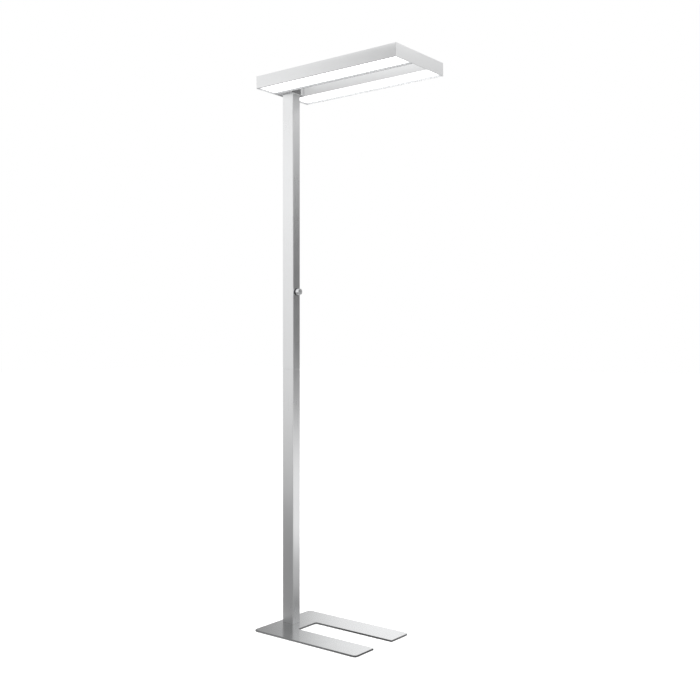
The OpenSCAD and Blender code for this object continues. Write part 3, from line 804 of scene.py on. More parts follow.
def facing_rear(x: float, y: float, z: float) -> Matrix:
    """Points an upright shape along -X from a place."""
    return Matrix.Translation((x, y, z)) @ Matrix.Rotation(math.radians(-90), 4, "Y")


def facing_down(x: float, y: float, z: float) -> Matrix:
    """Points an upright shape along -Z from a place."""
    return Matrix.Translation((x, y, z)) @ Matrix.Rotation(math.radians(180), 4, "X")


def across(x: float, y: float, z: float) -> Matrix:
    """Lays a cross-section drawn in (Y, Z) so that it extrudes along +X from a place."""
    axes = Matrix(((0, 0, 1, 0), (1, 0, 0, 0), (0, 1, 0, 0), (0, 0, 0, 1)))
    return Matrix.Translation((x, y, z)) @ axes


def is_upright(_middle: Vector, way: Vector) -> bool:
    """Picks upright edges."""
    return abs(way.z) > ALIGNED


def is_level(_middle: Vector, way: Vector) -> bool:
    """Picks level edges."""
    return abs(way.z) < ACROSS


def sunk_hole(
    tools: Shape, turn: Matrix, shank: float, head: float, sink: float, depth: float
) -> None:
    """Adds a countersunk hole to carving tools.

    Args:
        tools: the tools.
        turn: points the hole's axis out of the face.
        shank: the hole's radius.
        head: the sink's radius at the face.
        sink: the sink's depth.
        depth: the hole's depth.
    """
    profile = [(0, 1), (head, 1), (head, 0), (shank, -sink), (shank, -depth), (0, -depth)]
    tools.turned(profile, turn, steps=48)


# ---- Base ----


@dataclass
class Base:
    """The slotted steel plate that the lamp stands on, with its pads and screws."""

    rear: float = -300.0
    front: float = 150.0
    half_width: float = 150.0
    low: float = 1.5
    thickness: float = 6.0
    corner: float = 12.0
    slot_x: float = -184.0
    slot_half: float = 50.0
    slot_corner: float = 8.0
    tip_corner: float = 3.0
    ease: float = 0.35
    pad_x: Sequence[float] = (-278.0, -75.0, 128.0)
    pad_y: float = 128.0
    pad_radius: float = 10.0
    pad_height: float = 3.0
    pad_slack: float = 0.2
    pad_dish: float = 0.25
    screw_x: Sequence[float] = (-273.0, -243.0)
    screw_y: float = 7.0
    screw_hole: Sequence[float] = (3.05, 5.95, 3.3, 24.0)

    def pad_places(self) -> list[tuple[float, float]]:
        """The pads' centres."""
        return [(x, s * self.pad_y) for x in self.pad_x for s in (-1, 1)]

    def plate(self, shop: Workshop) -> None:
        """Builds the plate: the outline cut out, corners rounded, edges eased, holes sunk."""
        outline = [
            (self.rear, -self.half_width), (self.front, -self.half_width), (self.front, -self.slot_half),
            (self.slot_x, -self.slot_half), (self.slot_x, self.slot_half), (self.front, self.slot_half),
            (self.front, self.half_width), (self.rear, self.half_width),
        ]
        shape = Shape()
        shape.prism(outline, self.thickness, standing(0, 0, self.low))

        def upright(at_x: float | None, at_y: float) -> Test:
            """Picks upright edges by place."""
            return lambda middle, way: (
                is_upright(middle, way) and abs(abs(middle.y) - at_y) < CLOSE
                and (at_x is None or abs(middle.x - at_x) < CLOSE)
            )

        shape.round_edges(upright(None, self.half_width), self.corner, 10)
        shape.round_edges(upright(self.slot_x, self.slot_half), self.slot_corner, 8)
        shape.round_edges(upright(self.front, self.slot_half), self.tip_corner, 5)
        shape.round_edges(is_level, self.ease, 2)
        tools = Shape()
        for x, y in self.pad_places():
            tools.cylinder(self.pad_radius + self.pad_slack, self.low + 2.5, standing(x, y, -1))
        for x in self.screw_x:
            for s in (-1, 1):
                sunk_hole(tools, facing_down(x, s * self.screw_y, self.low), *self.screw_hole)
        shape.carve(tools)
        shop.deliver(shape, "base_plate", "brushed_plate")

    def pads(self, shop: Workshop) -> None:
        """Builds the six rubber pads, with a rounded and lightly dished foot."""
        shape = Shape()
        r, h, dish = self.pad_radius, self.pad_height, self.pad_dish
        profile = [
            (0, dish), (r - 3.4, dish), (r - 2.6, 0), (r - 0.6, 0), (r - 0.18, 0.18), (r, 0.6),
            (r, h), (0, h),
        ]
        for x, y in self.pad_places():
            shape.turned(profile, standing(x, y, 0), steps=48)
        shop.deliver(shape, "foot_pads", "black_rubber")

    def build(self, shop: Workshop) -> None:
        """Builds and dresses the base."""
        self.plate(shop)
        self.pads(shop)
        shop.keep("zinc_steel", "base_screws")
        shop.keep("cast_alloy", "column_foot")


# ---- Column ----


@dataclass
class Column:
    """The two aluminium tubes, the seam between them and what the column holds."""

    rear: float = -283.0
    depth: float = 50.0
    width: float = 38.0
    wall: float = 2.0
    corner: float = 2.5
    foot: float = 7.5
    seam: tuple[float, float] = (917.25, 918.75)
    top: float = 1933.0
    ease: float = 0.3
    lower_screws: Sequence[float] = (23.5, 43.5, 126.5, 863.0, 893.0)
    upper_screws: Sequence[float] = (943.0, 973.0, 1291.0, 1609.0)
    inlet: float = 77.5
    inlet_radius: float = 3.75
    knob_height: float = 1196.0
    neck_screws: tuple[float, float] = (9.0, 1918.0)
    screw_hole: Sequence[float] = (2.05, 3.85, 1.7, 8.05)
    dimmer_hole: float = 5.05
    neck_hole: float = 2.05
    bore_corner: float = 0.5
    bush: tuple[float, float, float] = (1.8, 3.6, 1.5)

    def outline(self, inset: float) -> list[Point]:
        """The tube's section, drawn in from its faces by an inset."""
        x0, x1 = self.rear + inset, self.rear + self.depth - inset
        y = self.width / 2 - inset
        return [(x0, -y), (x1, -y), (x1, y), (x0, y)]

    def tube(self, low: float, high: float, tools: Shape) -> Shape:
        """Extrudes a tube and carves its holes.

        Args:
            low: the height of its lower end.
            high: the height of its upper end.
            tools: the holes to carve.

        Returns:
            The tube.
        """
        shape, bore = Shape(), Shape()
        shape.prism(self.outline(0), high - low, standing(0, 0, low))
        shape.round_edges(is_upright, self.corner, 6)
        bore.prism(self.outline(self.wall), high - low + 4, standing(0, 0, low - 2))
        bore.round_edges(is_upright, self.bore_corner, 3)
        shape.carve(bore)
        shape.round_edges(is_level, self.ease, 2)
        shape.carve(tools)
        return shape

    def screw_holes(self, heights: Sequence[float]) -> Shape:
        """Countersunk holes in the tube's rear face, as carving tools."""
        tools = Shape()
        for z in heights:
            sunk_hole(tools, facing_rear(self.rear, 0, z), *self.screw_hole)
        return tools

    def lower(self, shop: Workshop) -> None:
        """Builds the lower tube, with its screw holes and the cable inlet's hole."""
        tools = self.screw_holes(self.lower_screws)
        tools.cylinder(self.inlet_radius + 1.85, 6, facing_rear(self.rear + 4, 0, self.inlet))
        shop.deliver(self.tube(self.foot, self.seam[0], tools), "lower_column", "satin_aluminium")

    def upper(self, shop: Workshop) -> None:
        """Builds the upper tube, with its screw holes and the dimmer's hole."""
        tools = self.screw_holes(self.upper_screws)
        front = self.rear + self.depth
        tools.cylinder(self.dimmer_hole, 6, facing_front(front - 4, 0, self.knob_height))
        y, z = self.neck_screws
        for s in (-1, 1):
            tools.cylinder(self.neck_hole, 6, facing_rear(self.rear + 4, s * y, z), 32)
        shop.deliver(self.tube(self.seam[1], self.top, tools), "upper_column", "satin_aluminium")

    def grommet(self, shop: Workshop) -> None:
        """Turns the rubber bush of the cable inlet, with a rounded flange outside."""
        body, rim, lip = self.bush
        bore, body, rim = self.inlet_radius, self.inlet_radius + body, self.inlet_radius + rim
        profile = [
            (bore + 0.3, lip), (rim - 0.6, lip), (rim - 0.17, lip - 0.17), (rim, lip - 0.6), (rim, 0),
            (body, 0), (body, -self.wall), (rim, -self.wall), (rim, -self.wall - lip),
            (bore, -self.wall - lip), (bore, lip - 0.3),
        ]
        shape = Shape()
        shape.turned(profile, facing_rear(self.rear, 0, self.inlet), closed=True)
        shop.deliver(shape, "cable_grommet", "black_rubber")

    def build(self, shop: Workshop) -> None:
        """Builds and dresses the column."""
        self.lower(shop)
        self.upper(shop)
        self.grommet(shop)
        shop.keep("cast_alloy", "column_joiner")
        shop.keep("zinc_steel", "column_screws", "driver_tray")
        shop.keep("white_plastic", "mains_terminal")
        shop.keep("driver_case", "led_driver")
        shop.keep("black_lead", "mains_lead", "control_lead", "output_lead")


# ---- Dimmer ----


@dataclass
class Dimmer:
    """The knob that turns and pushes, and the switch behind it, measured from the column's face."""

    face: float = -233.0
    height: float = 1196.0
    bezel_radius: float = 13.0
    bezel_depth: float = 3.0
    nut_pocket: float = 7.9
    bush_radius: float = 5.05
    knob_radius: float = 11.0
    knob_back: float = 4.3
    knob_front: float = 18.0
    rim: float = 1.0
    dish: float = 8.5
    shaft_bore: float = 3.05
    shaft_out: float = 14.5
    recess: float = 6.5
    recess_to: float = 7.2
    grub_hole: float = 1.5
    dish_depth: float = 0.4

    def bezel(self, shop: Workshop) -> None:
        """Turns the dark bezel ring with its pocket for the nut."""
        r, d = self.bezel_radius, self.bezel_depth
        profile = [
            (self.bush_radius, 0), (r, 0), (r, d - 0.7), (r - 0.2, d - 0.2), (r - 0.7, d),
            (self.nut_pocket + 0.2, d), (self.nut_pocket, d - 0.2), (self.nut_pocket, 0.8),
            (self.bush_radius, 0.8),
        ]
        shape = Shape()
        shape.turned(profile, facing_front(self.face, 0, self.height), closed=True, steps=96)
        shop.deliver(shape, "dimmer_bezel", "dark_plastic")

    def knob(self, shop: Workshop) -> None:
        """Turns the chrome knob: a rounded rim, a shallow dish in front and a recess behind."""
        r, back, front = self.knob_radius, self.knob_back, self.knob_front
        rim = [
            (r - self.rim * (1 - math.cos(a)), front - self.rim * (1 - math.sin(a)))
            for a in (math.radians(15 * n) for n in range(7))
        ]
        profile = [
            (0, self.shaft_out), (self.shaft_bore, self.shaft_out), (self.shaft_bore, self.recess_to),
            (self.recess, self.recess_to), (self.recess, back), (r - 0.4, back),
            (r - 0.1, back + 0.1), (r, back + 0.4), *rim, (self.dish + 0.4, front),
            (self.dish + 0.2, front - 0.06), (self.dish, front - 0.3),
            (self.dish - 0.15, front - self.dish_depth), (0, front - self.dish_depth),
        ]
        turn = facing_front(self.face, 0, self.height)
        shape = Shape()
        shape.turned(profile, turn, steps=96)
        tools = Shape()
        bore = facing_front(4, 0, (self.recess_to + self.shaft_out) / 2)
        tools.cylinder(self.grub_hole, 8, turn @ bore, 32)
        shape.carve(tools)
        face = self.face + front - 0.5
        shape.paint(1, lambda middle, way: way.x > ALIGNED and middle.x > face)
        shop.deliver(shape, "dimmer_knob", "polished_chrome", Body.KNOB, extra=("turned_face",))

    def build(self, shop: Workshop) -> None:
        """Builds and dresses the dimmer."""
        self.bezel(shop)
        self.knob(shop)
        shop.keep("cast_alloy", "dimmer_housing")
        shop.keep("zinc_steel", "dimmer_back_plate", "dimmer_nut", "dimmer_shaft", "knob_grub_screw")
        shop.keep("circuit_board", "dimmer_board")
        shop.keep("black_plastic", "push_switch")
        shop.keep("white_plastic", "dimmer_rotor")


# ---- Head ----


@dataclass
class Head:
    """The lit head: two wings of H section, their caps, diffusers, covers and boards.

    Places in a wing are measured from the gap outwards and from the lower lips up.
    """

    low: float = 1906.0
    height: float = 44.0
    half_length: float = 300.0
    half_width: float = 137.5
    gap: float = 40.0
    wing_width: float = 97.5
    wall: float = 2.5
    web: tuple[float, float] = (19.0, 21.5)
    cap: float = 3.0
    cap_corner: float = 1.2
    edge: float = 0.8
    lip_ease: float = 0.25
    # the height of the band of painted shade along the outer lower edge
    painted_shade_band: float = 1.3
    groove: tuple[float, float, float] = (10.3, 12.1, 0.9)
    ledge: tuple[float, float, float] = (38.5, 40.0, 2.0)
    panel: tuple[float, float] = (5.5, 7.5)
    cover: tuple[float, float] = (40.0, 42.0)
    barb: tuple[float, float] = (0.7, 1.6)
    slack: float = 0.2
    end_gap: float = 0.3
    tongue: tuple[float, float, float] = (-284.2, -239.8, 5.2)
    lead_hole: tuple[float, float] = (-262.0, 33.0)
    lead_bore: float = 1.25
    tab: tuple[float, float, float] = (12.0, 40.0, 2.5)
    tab_hole: float = 2.05
    tab_hole_y: float = 12.0

    def profile(self) -> list[Point]:
        """The wing's section: two walls, a web, barb grooves below and cover ledges above."""
        w, t, h = self.wing_width, self.wall, self.height
        g0, g1, gd = self.groove
        l0, l1, lw = self.ledge
        b0, b1 = self.web
        lower = [(t, 0), (t, g0), (t - gd, g0), (t - gd, g1), (t, g1), (t, b0)]
        upper = [(t, b1), (t, l0), (t + lw, l0), (t + lw, l1), (t, l1), (t, h)]
        flip = self.flipped
        return [(0, 0), *lower, *flip(lower), (w, 0), (w, h), *flip(upper), *upper, (0, h)]

    def flipped(self, points: Sequence[Point]) -> list[Point]:
        """The same stretch of outline at the wing's other wall."""
        return [(self.wing_width - u, v) for u, v in reversed(points)]

    def in_wing(self, x: float) -> Matrix:
        """Lays a wing's cross-section so that it runs along +X from x."""
        return across(x, self.gap, self.low)

    def wing(self, shop: Workshop, side: Side) -> None:
        """Extrudes a wing, rounds its outer edges, cuts the neck's slot and paints shade on its lips."""
        length = 2 * (self.half_length - self.cap)
        shape = Shape()
        shape.prism(self.profile(), length, self.in_wing(self.cap - self.half_length))
        shape.round_edges(
            lambda middle, way: abs(way.x) > ALIGNED and middle.y > self.half_width - CLOSE,
            self.edge, 4,
        )
        ends = (self.low, self.low + self.height)
        shape.round_edges(
            lambda middle, way: abs(way.x) > ALIGNED and middle.y < self.half_width - 1
            and min(abs(middle.z - z) for z in ends) < CLOSE, self.lip_ease, 2,
        )
        tools = Shape()
        x0, x1, rise = self.tongue
        base = self.low + self.web[1]
        tools.block((x0, self.gap - 1, base), (x1, self.gap + self.wall + 1, base + rise))
        x, z = self.lead_hole
        tools.cylinder(self.lead_bore, 5, facing_near(x, self.gap + 4, self.low + z), 24)
        shape.carve(tools)
        # Painted shade: the lips' recess faces, their bottoms and a band along the outer lower edge get
        # darker copies of the metal, darker on the near wing than on the far one
        shape.split(self.low + self.painted_shade_band)
        inner, outer = self.gap + self.wall, self.half_width - self.wall
        shape.paint(
            1, lambda middle, way: abs(way.y) > ALIGNED and middle.z < self.low + self.groove[0]
            and inner - CLOSE < middle.y < outer + CLOSE,
        )
        shape.paint(
            2, lambda middle, way: middle.z < self.low
            + (self.painted_shade_band if middle.y > outer + CLOSE else CLOSE),
        )
        shape.mirrored(side)
        lips = ("lip_painted_deep_shade", "lip_painted_shadow") if side is Side.NEAR else ("lip_painted_light_shade", "lip_painted_shade")
        shop.deliver(shape, f"{side.name.lower()}_wing", "head_aluminium", extra=lips)

    def end_cap(self, shop: Workshop, name: str, front: bool) -> None:
        """Builds an end cap: a full-width plate with a fixing tab on each wing's web.

        Args:
            shop: finishes the cap.
            name: the cap's node.
            front: whether it closes the front end, and not the rear one.
        """
        x0, x1 = self.half_length - self.cap, self.half_length
        low, high = self.low, self.low + self.height
        shape = Shape()
        shape.block((x0, -self.half_width, low), (x1, self.half_width, high))
        shape.round_edges(
            lambda middle, way: is_upright(middle, way) and middle.x > x1 - CLOSE,
            self.cap_corner, 5,
        )
        shape.round_edges(
            lambda middle, way: abs(way.x) > ALIGNED and abs(middle.y) > self.half_width - CLOSE,
            self.edge, 4,
        )
        shape.round_edges(
            lambda middle, way: abs(way.y) > ALIGNED and middle.x > x1 - CLOSE, self.edge / 2, 3
        )
        reach, width, thick = self.tab
        middle, base = self.gap + self.wing_width / 2, low + self.web[1]
        tabs, tools = Shape(), Shape()
        for s in (-1, 1):
            y0, y1 = sorted((s * (middle - width / 2), s * (middle + width / 2)))
            tabs.block((x0 - reach, y0, base), (x0 + 1, y1, base + thick))
            for dy in (-self.tab_hole_y, self.tab_hole_y):
                place = standing(x0 - reach / 2, s * (middle + dy), base - 1)
                tools.cylinder(self.tab_hole, thick + 2, place, 32)
        shape.carve(tabs, "UNION")
        shape.carve(tools)
        # Painted shade: the inner face below the diffuser gets a darker copy of the metal, darker on the
        # rear cap than on the front one
        shape.split(low + self.panel[0])
        shape.paint(1, lambda middle, way: way.x < -ALIGNED and middle.z < low + self.panel[0])
        if not front:
            about = Matrix.Rotation(math.pi, 3, "Z")
            bmesh.ops.rotate(shape.bm, cent=(0, 0, 0), matrix=about, verts=shape.bm.verts)
        shop.deliver(shape, name, "head_aluminium", extra=("lip_painted_shade" if front else "lip_painted_deep_shade",))

    def diffuser(self, shop: Workshop, side: Side) -> None:
        """Extrudes the opal panel with the two barbed legs that click into the wing."""
        u0, u1 = self.wall + self.slack, self.wing_width - self.wall - self.slack
        p0, p1 = self.panel
        barb, thick = self.barb
        leg = [
            (u1, p0 + 5), (u1 + barb, p0 + 5), (u1 + barb, p0 + 6.4), (u1, p0 + 6.4),
            (u1, p1 + 5), (u1 - thick, p1 + 5), (u1 - thick, p1),
        ]
        length = 2 * (self.half_length - self.cap - self.end_gap)
        shape = Shape()
        shape.prism([(u0, p0), (u1, p0), *leg, *self.flipped(leg)], length, self.in_wing(-length / 2))
        shape.round_edges(
            lambda middle, way: abs(way.x) > ALIGNED and abs(middle.z - self.low - p0) < CLOSE,
            self.edge / 2, 3,
        )
        shape.mirrored(side)
        shop.deliver(shape, f"{side.name.lower()}_lower_diffuser", "opal_diffuser")

    def upper_cover(self, shop: Workshop, side: Side) -> None:
        """Cuts the clear cover of the upward light, with eased edges."""
        half = self.half_length - self.cap - self.end_gap
        y0 = self.gap + self.wall + self.slack
        y1 = self.half_width - self.wall - self.slack
        shape = Shape()
        shape.block((-half, y0, self.low + self.cover[0]), (half, y1, self.low + self.cover[1]))
        shape.round_edges(lambda middle, way: True, 0.35, 2)
        shape.mirrored(side)
        shop.deliver(shape, f"{side.name.lower()}_upper_cover", "clear_cover")

    def build(self, shop: Workshop) -> None:
        """Builds and dresses the head."""
        for side in Side:
            self.wing(shop, side)
            self.diffuser(shop, side)
            self.upper_cover(shop, side)
        self.end_cap(shop, "front_end_cap", True)
        self.end_cap(shop, "rear_end_cap", False)
        shop.keep("zinc_steel", "end_cap_screws")


@dataclass
class LedBoards:
    """The four LED boards on the wings' webs, with their screws, feeds and leads."""

    low: float = 1906.0
    x0: float = -228.0
    x1: float = 280.0
    middle: float = 88.75
    half_width: float = 30.0
    thickness: float = 1.6
    web: tuple[float, float] = (19.0, 21.5)
    first: float = 40.0
    pitch: float = 24.0
    count: int = 19
    row: float = 14.0
    led: float = 3.0
    led_height: float = 0.8
    screw_inset: float = 10.0
    screw_shift: float = 10.0
    screw_y: float = 24.0
    screw_hole: float = 1.55
    corner: float = 1.5
    link: float = 22.0
    link_hole: float = 1.25
    plug: tuple[float, float, float, float] = (3.0, 11.0, 10.0, 34.7)

    def led_package(self, shape: Shape) -> None:
        """Models one LED at the origin: a white package with a sunk phosphor window."""
        a = self.led / 2
        verts = shape.block((-a, -a, 0), (a, a, self.led_height))
        top = max({f for v in verts for f in v.link_faces}, key=lambda f: f.calc_center_median().z)
        bmesh.ops.inset_region(shape.bm, faces=[top], thickness=0.4, depth=0)
        bmesh.ops.inset_region(shape.bm, faces=[top], thickness=0.15, depth=-0.12)
        top.material_index = 1

    def board(self, shop: Workshop, side: Side, upper: bool) -> None:
        """Builds a board with its two rows of LEDs.

        Args:
            shop: finishes the board.
            side: the wing that it is in.
            upper: whether it lights upwards.
        """
        shape = Shape()
        m, w, t = self.middle, self.half_width, self.thickness
        shape.block((self.x0, m - w, 0), (self.x1, m + w, t))
        shape.round_edges(is_upright, self.corner, 4)
        tools = Shape()
        inset = self.screw_inset + (0 if upper else self.screw_shift)
        for x in (self.x0 + inset, self.x1 - inset):
            for s in (-1, 1):
                tools.cylinder(self.screw_hole, t + 2, standing(x, m + s * self.screw_y, -1), 24)
        tools.cylinder(self.link_hole, t + 2, standing(self.x0 + self.link, m, -1), 24)
        shape.carve(tools)
        package = Shape()
        self.led_package(package)
        mesh = bpy.data.meshes.new("led")
        package.bm.to_mesh(mesh)
        package.bm.free()
        for i in range(self.count):
            for s in (-1, 1):
                old = set(shape.bm.verts)
                shape.bm.from_mesh(mesh)
                new = [v for v in shape.bm.verts if v not in old]
                place = (self.x0 + self.first + i * self.pitch, m + s * self.row, t)
                bmesh.ops.translate(shape.bm, vec=place, verts=new)
        bpy.data.meshes.remove(mesh)
        if upper:
            inset, length, width, top = self.plug
            shape.block(
                (self.x0 + inset, m - width / 2, t),
                (self.x0 + inset + length, m + width / 2, top - self.web[1]),
            )
            bmesh.ops.translate(shape.bm, vec=(0, 0, self.low + self.web[1]), verts=shape.bm.verts)
        else:
            bmesh.ops.scale(shape.bm, vec=(1, 1, -1), verts=shape.bm.verts)
            bmesh.ops.reverse_faces(shape.bm, faces=shape.bm.faces)
            bmesh.ops.translate(shape.bm, vec=(0, 0, self.low + self.web[0]), verts=shape.bm.verts)
        shape.mirrored(side)
        name = f"{side.name.lower()}_{'upper' if upper else 'lower'}_led_board"
        shop.deliver(shape, name, "white_board", extra=("led_window",))

    def build(self, shop: Workshop) -> None:
        """Builds the boards and dresses what goes with them."""
        for side in Side:
            self.board(shop, side, True)
            self.board(shop, side, False)
        shop.keep("zinc_steel", "board_screws")
        shop.keep("white_plastic", "board_links")
        shop.keep("white_lead", "near_wing_lead", "far_wing_lead")


@dataclass
class Neck:
    """The joint between column and head, between the two wings."""

    low: float = 1906.0
    rear: float = -296.7
    front: float = -235.0
    half: float = 39.9
    lid: tuple[float, float] = (42.0, 44.0)
    flange: float = 2.0
    seat: float = 31.0
    post: tuple[float, float] = (2.5, 31.0)
    post_x: Sequence[float] = (-285.0, -243.0)
    ease: float = 0.3

    def top_cover(self, shop: Workshop) -> None:
        """Folds the lid with its front flange, and stands it on four posts."""
        l0, l1 = self.lid
        section = [
            (self.rear, l0), (self.front - self.flange, l0), (self.front - self.flange, self.seat),
            (self.front, self.seat), (self.front, l1), (self.rear, l1),
        ]
        shape = Shape()
        shape.prism(section, 2 * self.half, facing_near(0, self.half, self.low))
        shape.round_edges(lambda middle, way: middle.z > self.low + l0 - CLOSE, self.ease, 2)
        radius, y = self.post
        for x in self.post_x:
            for s in (-1, 1):
                foot = standing(x, s * y, self.low + self.seat)
                shape.cylinder(radius, l0 - self.seat, foot, 32)
        shop.deliver(shape, "neck_top_cover", "head_aluminium")

    def build(self, shop: Workshop) -> None:
        """Builds and dresses the neck."""
        self.top_cover(shop)
        shop.keep("cast_alloy", "neck_bracket")
        shop.keep("dark_grey_paint", "neck_bottom_cover")
        shop.keep("zinc_steel", "neck_screws", "clamp_plates", "clamp_screws")
        shop.keep("black_plastic", "junction_block")


# ---- Studio ----


UP = (0.0, 0.0, 1.0)
FORWARDS = (1.0, 0.0, 0.0)
INTO_VIEW = (0.616, 0.788, 0.0)
FLAT = (0.0, 0.0)
SQUARE_TO_VIEW = (90.0, -38.0)


def sheet(name: str, material: bpy.types.Material, matrix: Matrix) -> bpy.types.Object:
    """Makes a flat sheet for the set.

    Args:
        name: its name.
        material: its material.
        matrix: sizes and places it, from a square of one metre.

    Returns:
        The sheet.
    """
    bm = bmesh.new()
    bmesh.ops.create_grid(bm, x_segments=1, y_segments=1, size=0.5, matrix=matrix)
    mesh = bpy.data.meshes.new(name)
    bm.to_mesh(mesh)
    bm.free()
    mesh.materials.append(material)
    made = bpy.data.objects.new(name, mesh)
    bpy.context.scene.collection.objects.link(made)
    return made


@dataclass(frozen=True)
class Card:
    """A photographer's card or flag that only shows in reflections.

    It is tilted up from flat and then turned about the upright, both in degrees. Its shade
    runs along one direction: each stop is a place in metres and a brightness.
    """

    name: str
    centre: tuple[float, float, float]
    size: tuple[float, float]
    turn: tuple[float, float]
    way: tuple[float, float, float]
    stops: Sequence[tuple[float, float]]

    def hang(self) -> None:
        """Hangs the card."""
        tilt, heading = (math.radians(angle) for angle in self.turn)
        turn = Matrix.Rotation(heading, 3, "Z") @ Matrix.Rotation(tilt, 3, "X")
        matrix = Matrix.LocRotScale(self.centre, turn, (*self.size, 1))
        card = sheet(self.name, self.paint(), matrix)
        card.visible_camera = card.visible_diffuse = card.visible_transmission = False
        card.visible_shadow = card.visible_volume_scatter = False
        log.info("card %s", self.name)

    def paint(self) -> bpy.types.Material:
        """Paints the card's gradient.

        Returns:
            An emission material.
        """
        shading = Shading(self.name)
        dot = shading.node("VectorMath", Vector=shading.place)
        dot.operation = "DOT_PRODUCT"
        dot.inputs[1].default_value = self.way
        first, last = self.stops[0][0], self.stops[-1][0]
        along = shading.spread(dot.outputs["Value"], 0, 1, first, last)
        colours = [((p - first) / (last - first), (b, b, b)) for p, b in self.stops]
        glow = shading.node("Emission", Color=shading.ramp(along, colours))
        shading.tree.nodes.remove(shading.shader)
        shading.tree.links.new(glow.outputs[0], shading.output.inputs[0])
        return shading.material


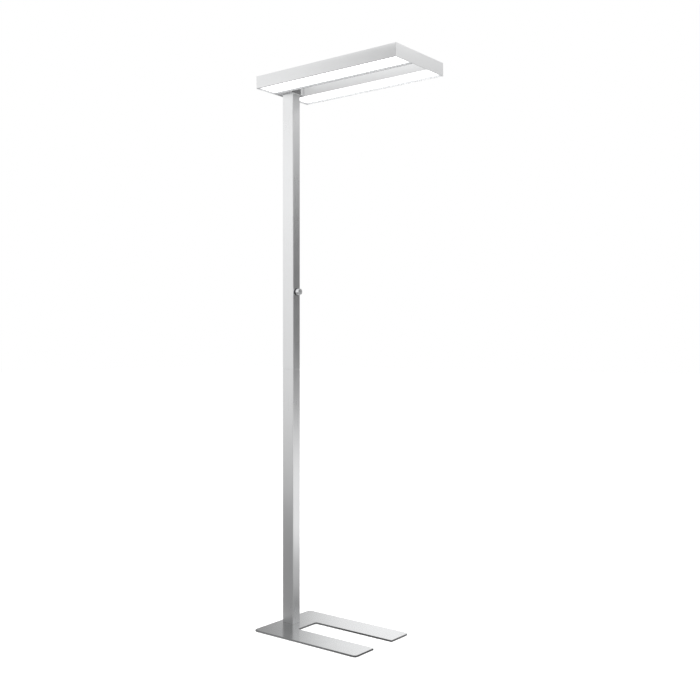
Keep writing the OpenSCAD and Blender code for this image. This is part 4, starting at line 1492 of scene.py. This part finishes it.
@dataclass
class Studio:
    """A pale floor, a white surround, one soft overhead light and the reflection cards."""

    floor_size: float = 60.0
    floor_colour: float = 0.86
    floor_lift: float = 0.42
    surround: float = 0.72
    softbox_power: float = 160.0
    softbox_size: float = 3.0
    softbox_place: tuple[float, float, float] = (0.9, -1.4, 4.2)
    softbox_aim: tuple[float, float, float] = (0.0, 0.0, 1.0)
    eye: tuple[float, float, float] = (1.9588, -2.4927, 1.0031)
    heading: float = 38.01
    lens: float = 47.46
    sensor: float = 36.0
    clip_end: float = 200.0
    shift: float = -0.0063

    def camera(self) -> None:
        """Sets the camera at the photograph's place, level, with its long lens."""
        data = bpy.data.cameras.new("camera")
        data.lens, data.sensor_width, data.shift_y = self.lens, self.sensor, self.shift
        data.clip_end = self.clip_end
        camera = bpy.data.objects.new("camera", data)
        camera.location = self.eye
        camera.rotation_euler = (math.radians(90), 0, math.radians(self.heading))
        bpy.context.scene.collection.objects.link(camera)
        bpy.context.scene.camera = camera

    def seen(self, tree: bpy.types.NodeTree) -> Socket:
        """A factor that is 1 for what the camera, metal and glass look at.

        Args:
            tree: the node tree that needs it.

        Returns:
            The factor.
        """
        path = tree.nodes.new("ShaderNodeLightPath")
        total = path.outputs["Is Camera Ray"]
        for name in ("Is Glossy Ray", "Is Transmission Ray"):
            total = maths(tree, "MAXIMUM", total, path.outputs[name])
        return total

    def world(self) -> None:
        """Surrounds the set with white, a little softer as a light than as a background."""
        world = bpy.data.worlds.new("surround")
        bpy.context.scene.world = world
        world.use_nodes = True
        tree = world.node_tree
        background = tree.nodes["Background"]
        background.inputs["Color"].default_value = (1, 1, 1, 1)
        level = tree.nodes.new("ShaderNodeMapRange")
        level.inputs["To Min"].default_value = self.surround
        level.inputs["To Max"].default_value = 1.0
        tree.links.new(self.seen(tree), level.inputs["Value"])
        tree.links.new(level.outputs["Result"], background.inputs["Strength"])

    def floor(self) -> None:
        """Lays the pale floor, which keeps the lamp's shadow and meets the white surround."""
        shading = Shading("floor_paper")
        grain = shading.noise(shading.place, 500, 3)
        colour = (self.floor_colour,) * 3
        shading.set("Base Color", shading.ramp(grain, [(0.3, shade(colour, 0.99)), (0.7, colour)]))
        shading.set("Roughness", 0.9)
        shading.set("Specular IOR Level", 0.0)
        lift = maths(shading.tree, "MULTIPLY", self.seen(shading.tree), self.floor_lift)
        shading.set("Emission Color", (1, 1, 1, 1))
        shading.set("Emission Strength", lift)
        floor = sheet("floor", shading.material, Matrix.Scale(self.floor_size, 4))

    def softbox(self) -> None:
        """Hangs the soft light high over the front of the lamp."""
        data = bpy.data.lights.new("softbox", "AREA")
        data.shape, data.energy = "RECTANGLE", self.softbox_power
        data.size = data.size_y = self.softbox_size
        light = bpy.data.objects.new("softbox", data)
        light.location = self.softbox_place
        aim = Vector(self.softbox_aim) - light.location
        light.rotation_euler = aim.to_track_quat("-Z", "Y").to_euler()
        light.visible_glossy = False
        bpy.context.scene.collection.objects.link(light)

    def cards(self) -> list[Card]:
        """The cards that give the metal its light and dark.

        Returns:
            The cards, each out of the camera's sight.
        """
        walls = [
            Card(f"wall_{turn}", (x, y, 2.75), (11.0, 5.5), (90, turn), UP,
                 [(0.0, 0.7), (1.1, 0.8), (2.2, 0.66), (3.6, 0.6), (5.5, 0.8)])
            for turn, x, y in ((0, 0, -5.5), (90, 5.5, 0), (180, 0, 5.5), (270, -5.5, 0))
        ]
        return walls + [
            Card("side_card", (1.38, 2.05, 1.7), (3.4, 3.4), SQUARE_TO_VIEW, UP,
                 [(0.0, 0.95), (0.1, 0.97), (0.29, 0.94), (0.46, 0.63), (0.66, 0.31), (0.91, 0.175),
                  (1.1, 0.163), (1.4, 0.125), (1.6, 0.16), (1.9, 0.31), (2.1, 0.43), (2.26, 0.53),
                  (2.45, 0.505), (2.62, 0.91), (3.4, 1.0)]),
            Card("key_card", (-1.86, -2.05, 1.3), (3.6, 2.6), SQUARE_TO_VIEW, UP,
                 [(0.0, 0.345), (0.1, 0.42), (0.29, 0.58), (0.48, 0.69), (0.67, 0.74), (0.93, 0.77),
                  (1.12, 0.8), (1.41, 0.84), (1.63, 0.9), (1.95, 1.0), (2.26, 1.0), (2.6, 0.97)]),
            Card("head_card", (-1.83, -2.02, 3.1), (4.0, 1.2), SQUARE_TO_VIEW, (0.788, -0.616, 0.0),
                 [(-1.0, 0.94), (-0.5, 0.94), (-0.1, 0.92), (0.1, 0.76), (0.3, 0.38), (0.6, 0.18),
                  (0.9, 0.15)]),
            Card("sky_card", (-2.4, -0.9, 4.0), (1.6, 2.6), FLAT, (0.0, 1.0, 0.0),
                 [(-2.2, 0.25), (0.4, 0.12)]),
            Card("under_card", (0.0, 0.0, 1.9056), (0.6, 0.28), FLAT, INTO_VIEW,
                 [(-0.4, 0.9), (-0.2, 0.84), (-0.17, 0.6), (-0.14, 0.3), (-0.1, 0.42), (-0.06, 0.5),
                  (0.0, 0.55), (0.3, 0.58)]),
            Card("gap_card", (0.0, -0.075, 1.975), (0.7, 0.25), FLAT, FORWARDS,
                 [(-0.35, 0.85), (-0.2, 0.85), (0.0, 0.92), (0.2, 0.99), (0.35, 1.05)]),
            Card("wall_card", (0.033, -0.0395, 1.905), (0.524, 0.088), (90, 0), FORWARDS,
                 [(-0.23, 0.58), (-0.1, 0.66), (0.3, 0.78)]),
            Card("neck_card", (-0.2303, 0.0, 1.9278), (0.078, 0.042), (90, 90), UP,
                 [(1.9, 0.66), (1.95, 0.66)]),
            Card("floor_card", (0.0, 0.0, 0.0007), (24.0, 24.0), (0, 52), INTO_VIEW,
                 [(-9.0, 0.7), (-5.2, 0.6), (-3.4, 0.47), (-2.2, 0.36), (-1.4, 0.3), (-0.8, 0.26),
                  (-0.36, 0.26), (-0.28, 0.36), (-0.16, 0.33), (-0.06, 0.22), (0.0, 0.14),
                  (0.12, 0.16), (0.25, 0.34), (0.5, 0.52), (1.1, 0.78), (2.0, 0.92), (3.1, 0.95),
                  (5.0, 0.86), (8.2, 0.68)]),
            Card("key_skirt", (-0.566, -0.413, 0.21), (0.5, 0.38), SQUARE_TO_VIEW, UP,
                 [(0.02, 0.25), (0.11, 0.265), (0.2, 0.29), (0.3, 0.325), (0.4, 0.385)]),
            Card("side_skirt", (0.075, 0.394, 0.21), (0.5, 0.38), SQUARE_TO_VIEW, UP,
                 [(0.02, 0.48), (0.08, 0.44), (0.12, 0.48), (0.17, 0.74), (0.25, 0.9), (0.4, 0.88)]),
            Card("back_card", (-1.2, 1.0, 0.5), (1.56, 1.0), (90, 0), FORWARDS,
                 [(-2.1, 0.33), (-1.4, 0.44), (-1.15, 0.68), (-0.97, 1.05), (-0.8, 1.28),
                  (-0.6, 1.4), (-0.4, 1.47)]),
        ]

    def build(self) -> None:
        """Sets up the whole studio."""
        self.camera()
        self.world()
        self.floor()
        self.softbox()
        for card in self.cards():
            card.hang()
        bpy.context.scene.view_settings.view_transform = "Standard"
        log.info("studio ready")


def main() -> None:
    """Loads the frame, and builds the lamp's looks and the studio."""
    logging.basicConfig(level=logging.INFO, format="%(name)s: %(message)s")
    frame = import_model()
    Studio().build()
    catalogue = Catalogue()
    catalogue.stock()
    shop = Workshop(catalogue, frame["nodes"])
    for assembly in (Base(), Column(), Dimmer(), Head(), LedBoards(), Neck()):
        assembly.build(shop)


if __name__ == "__main__":
    main()
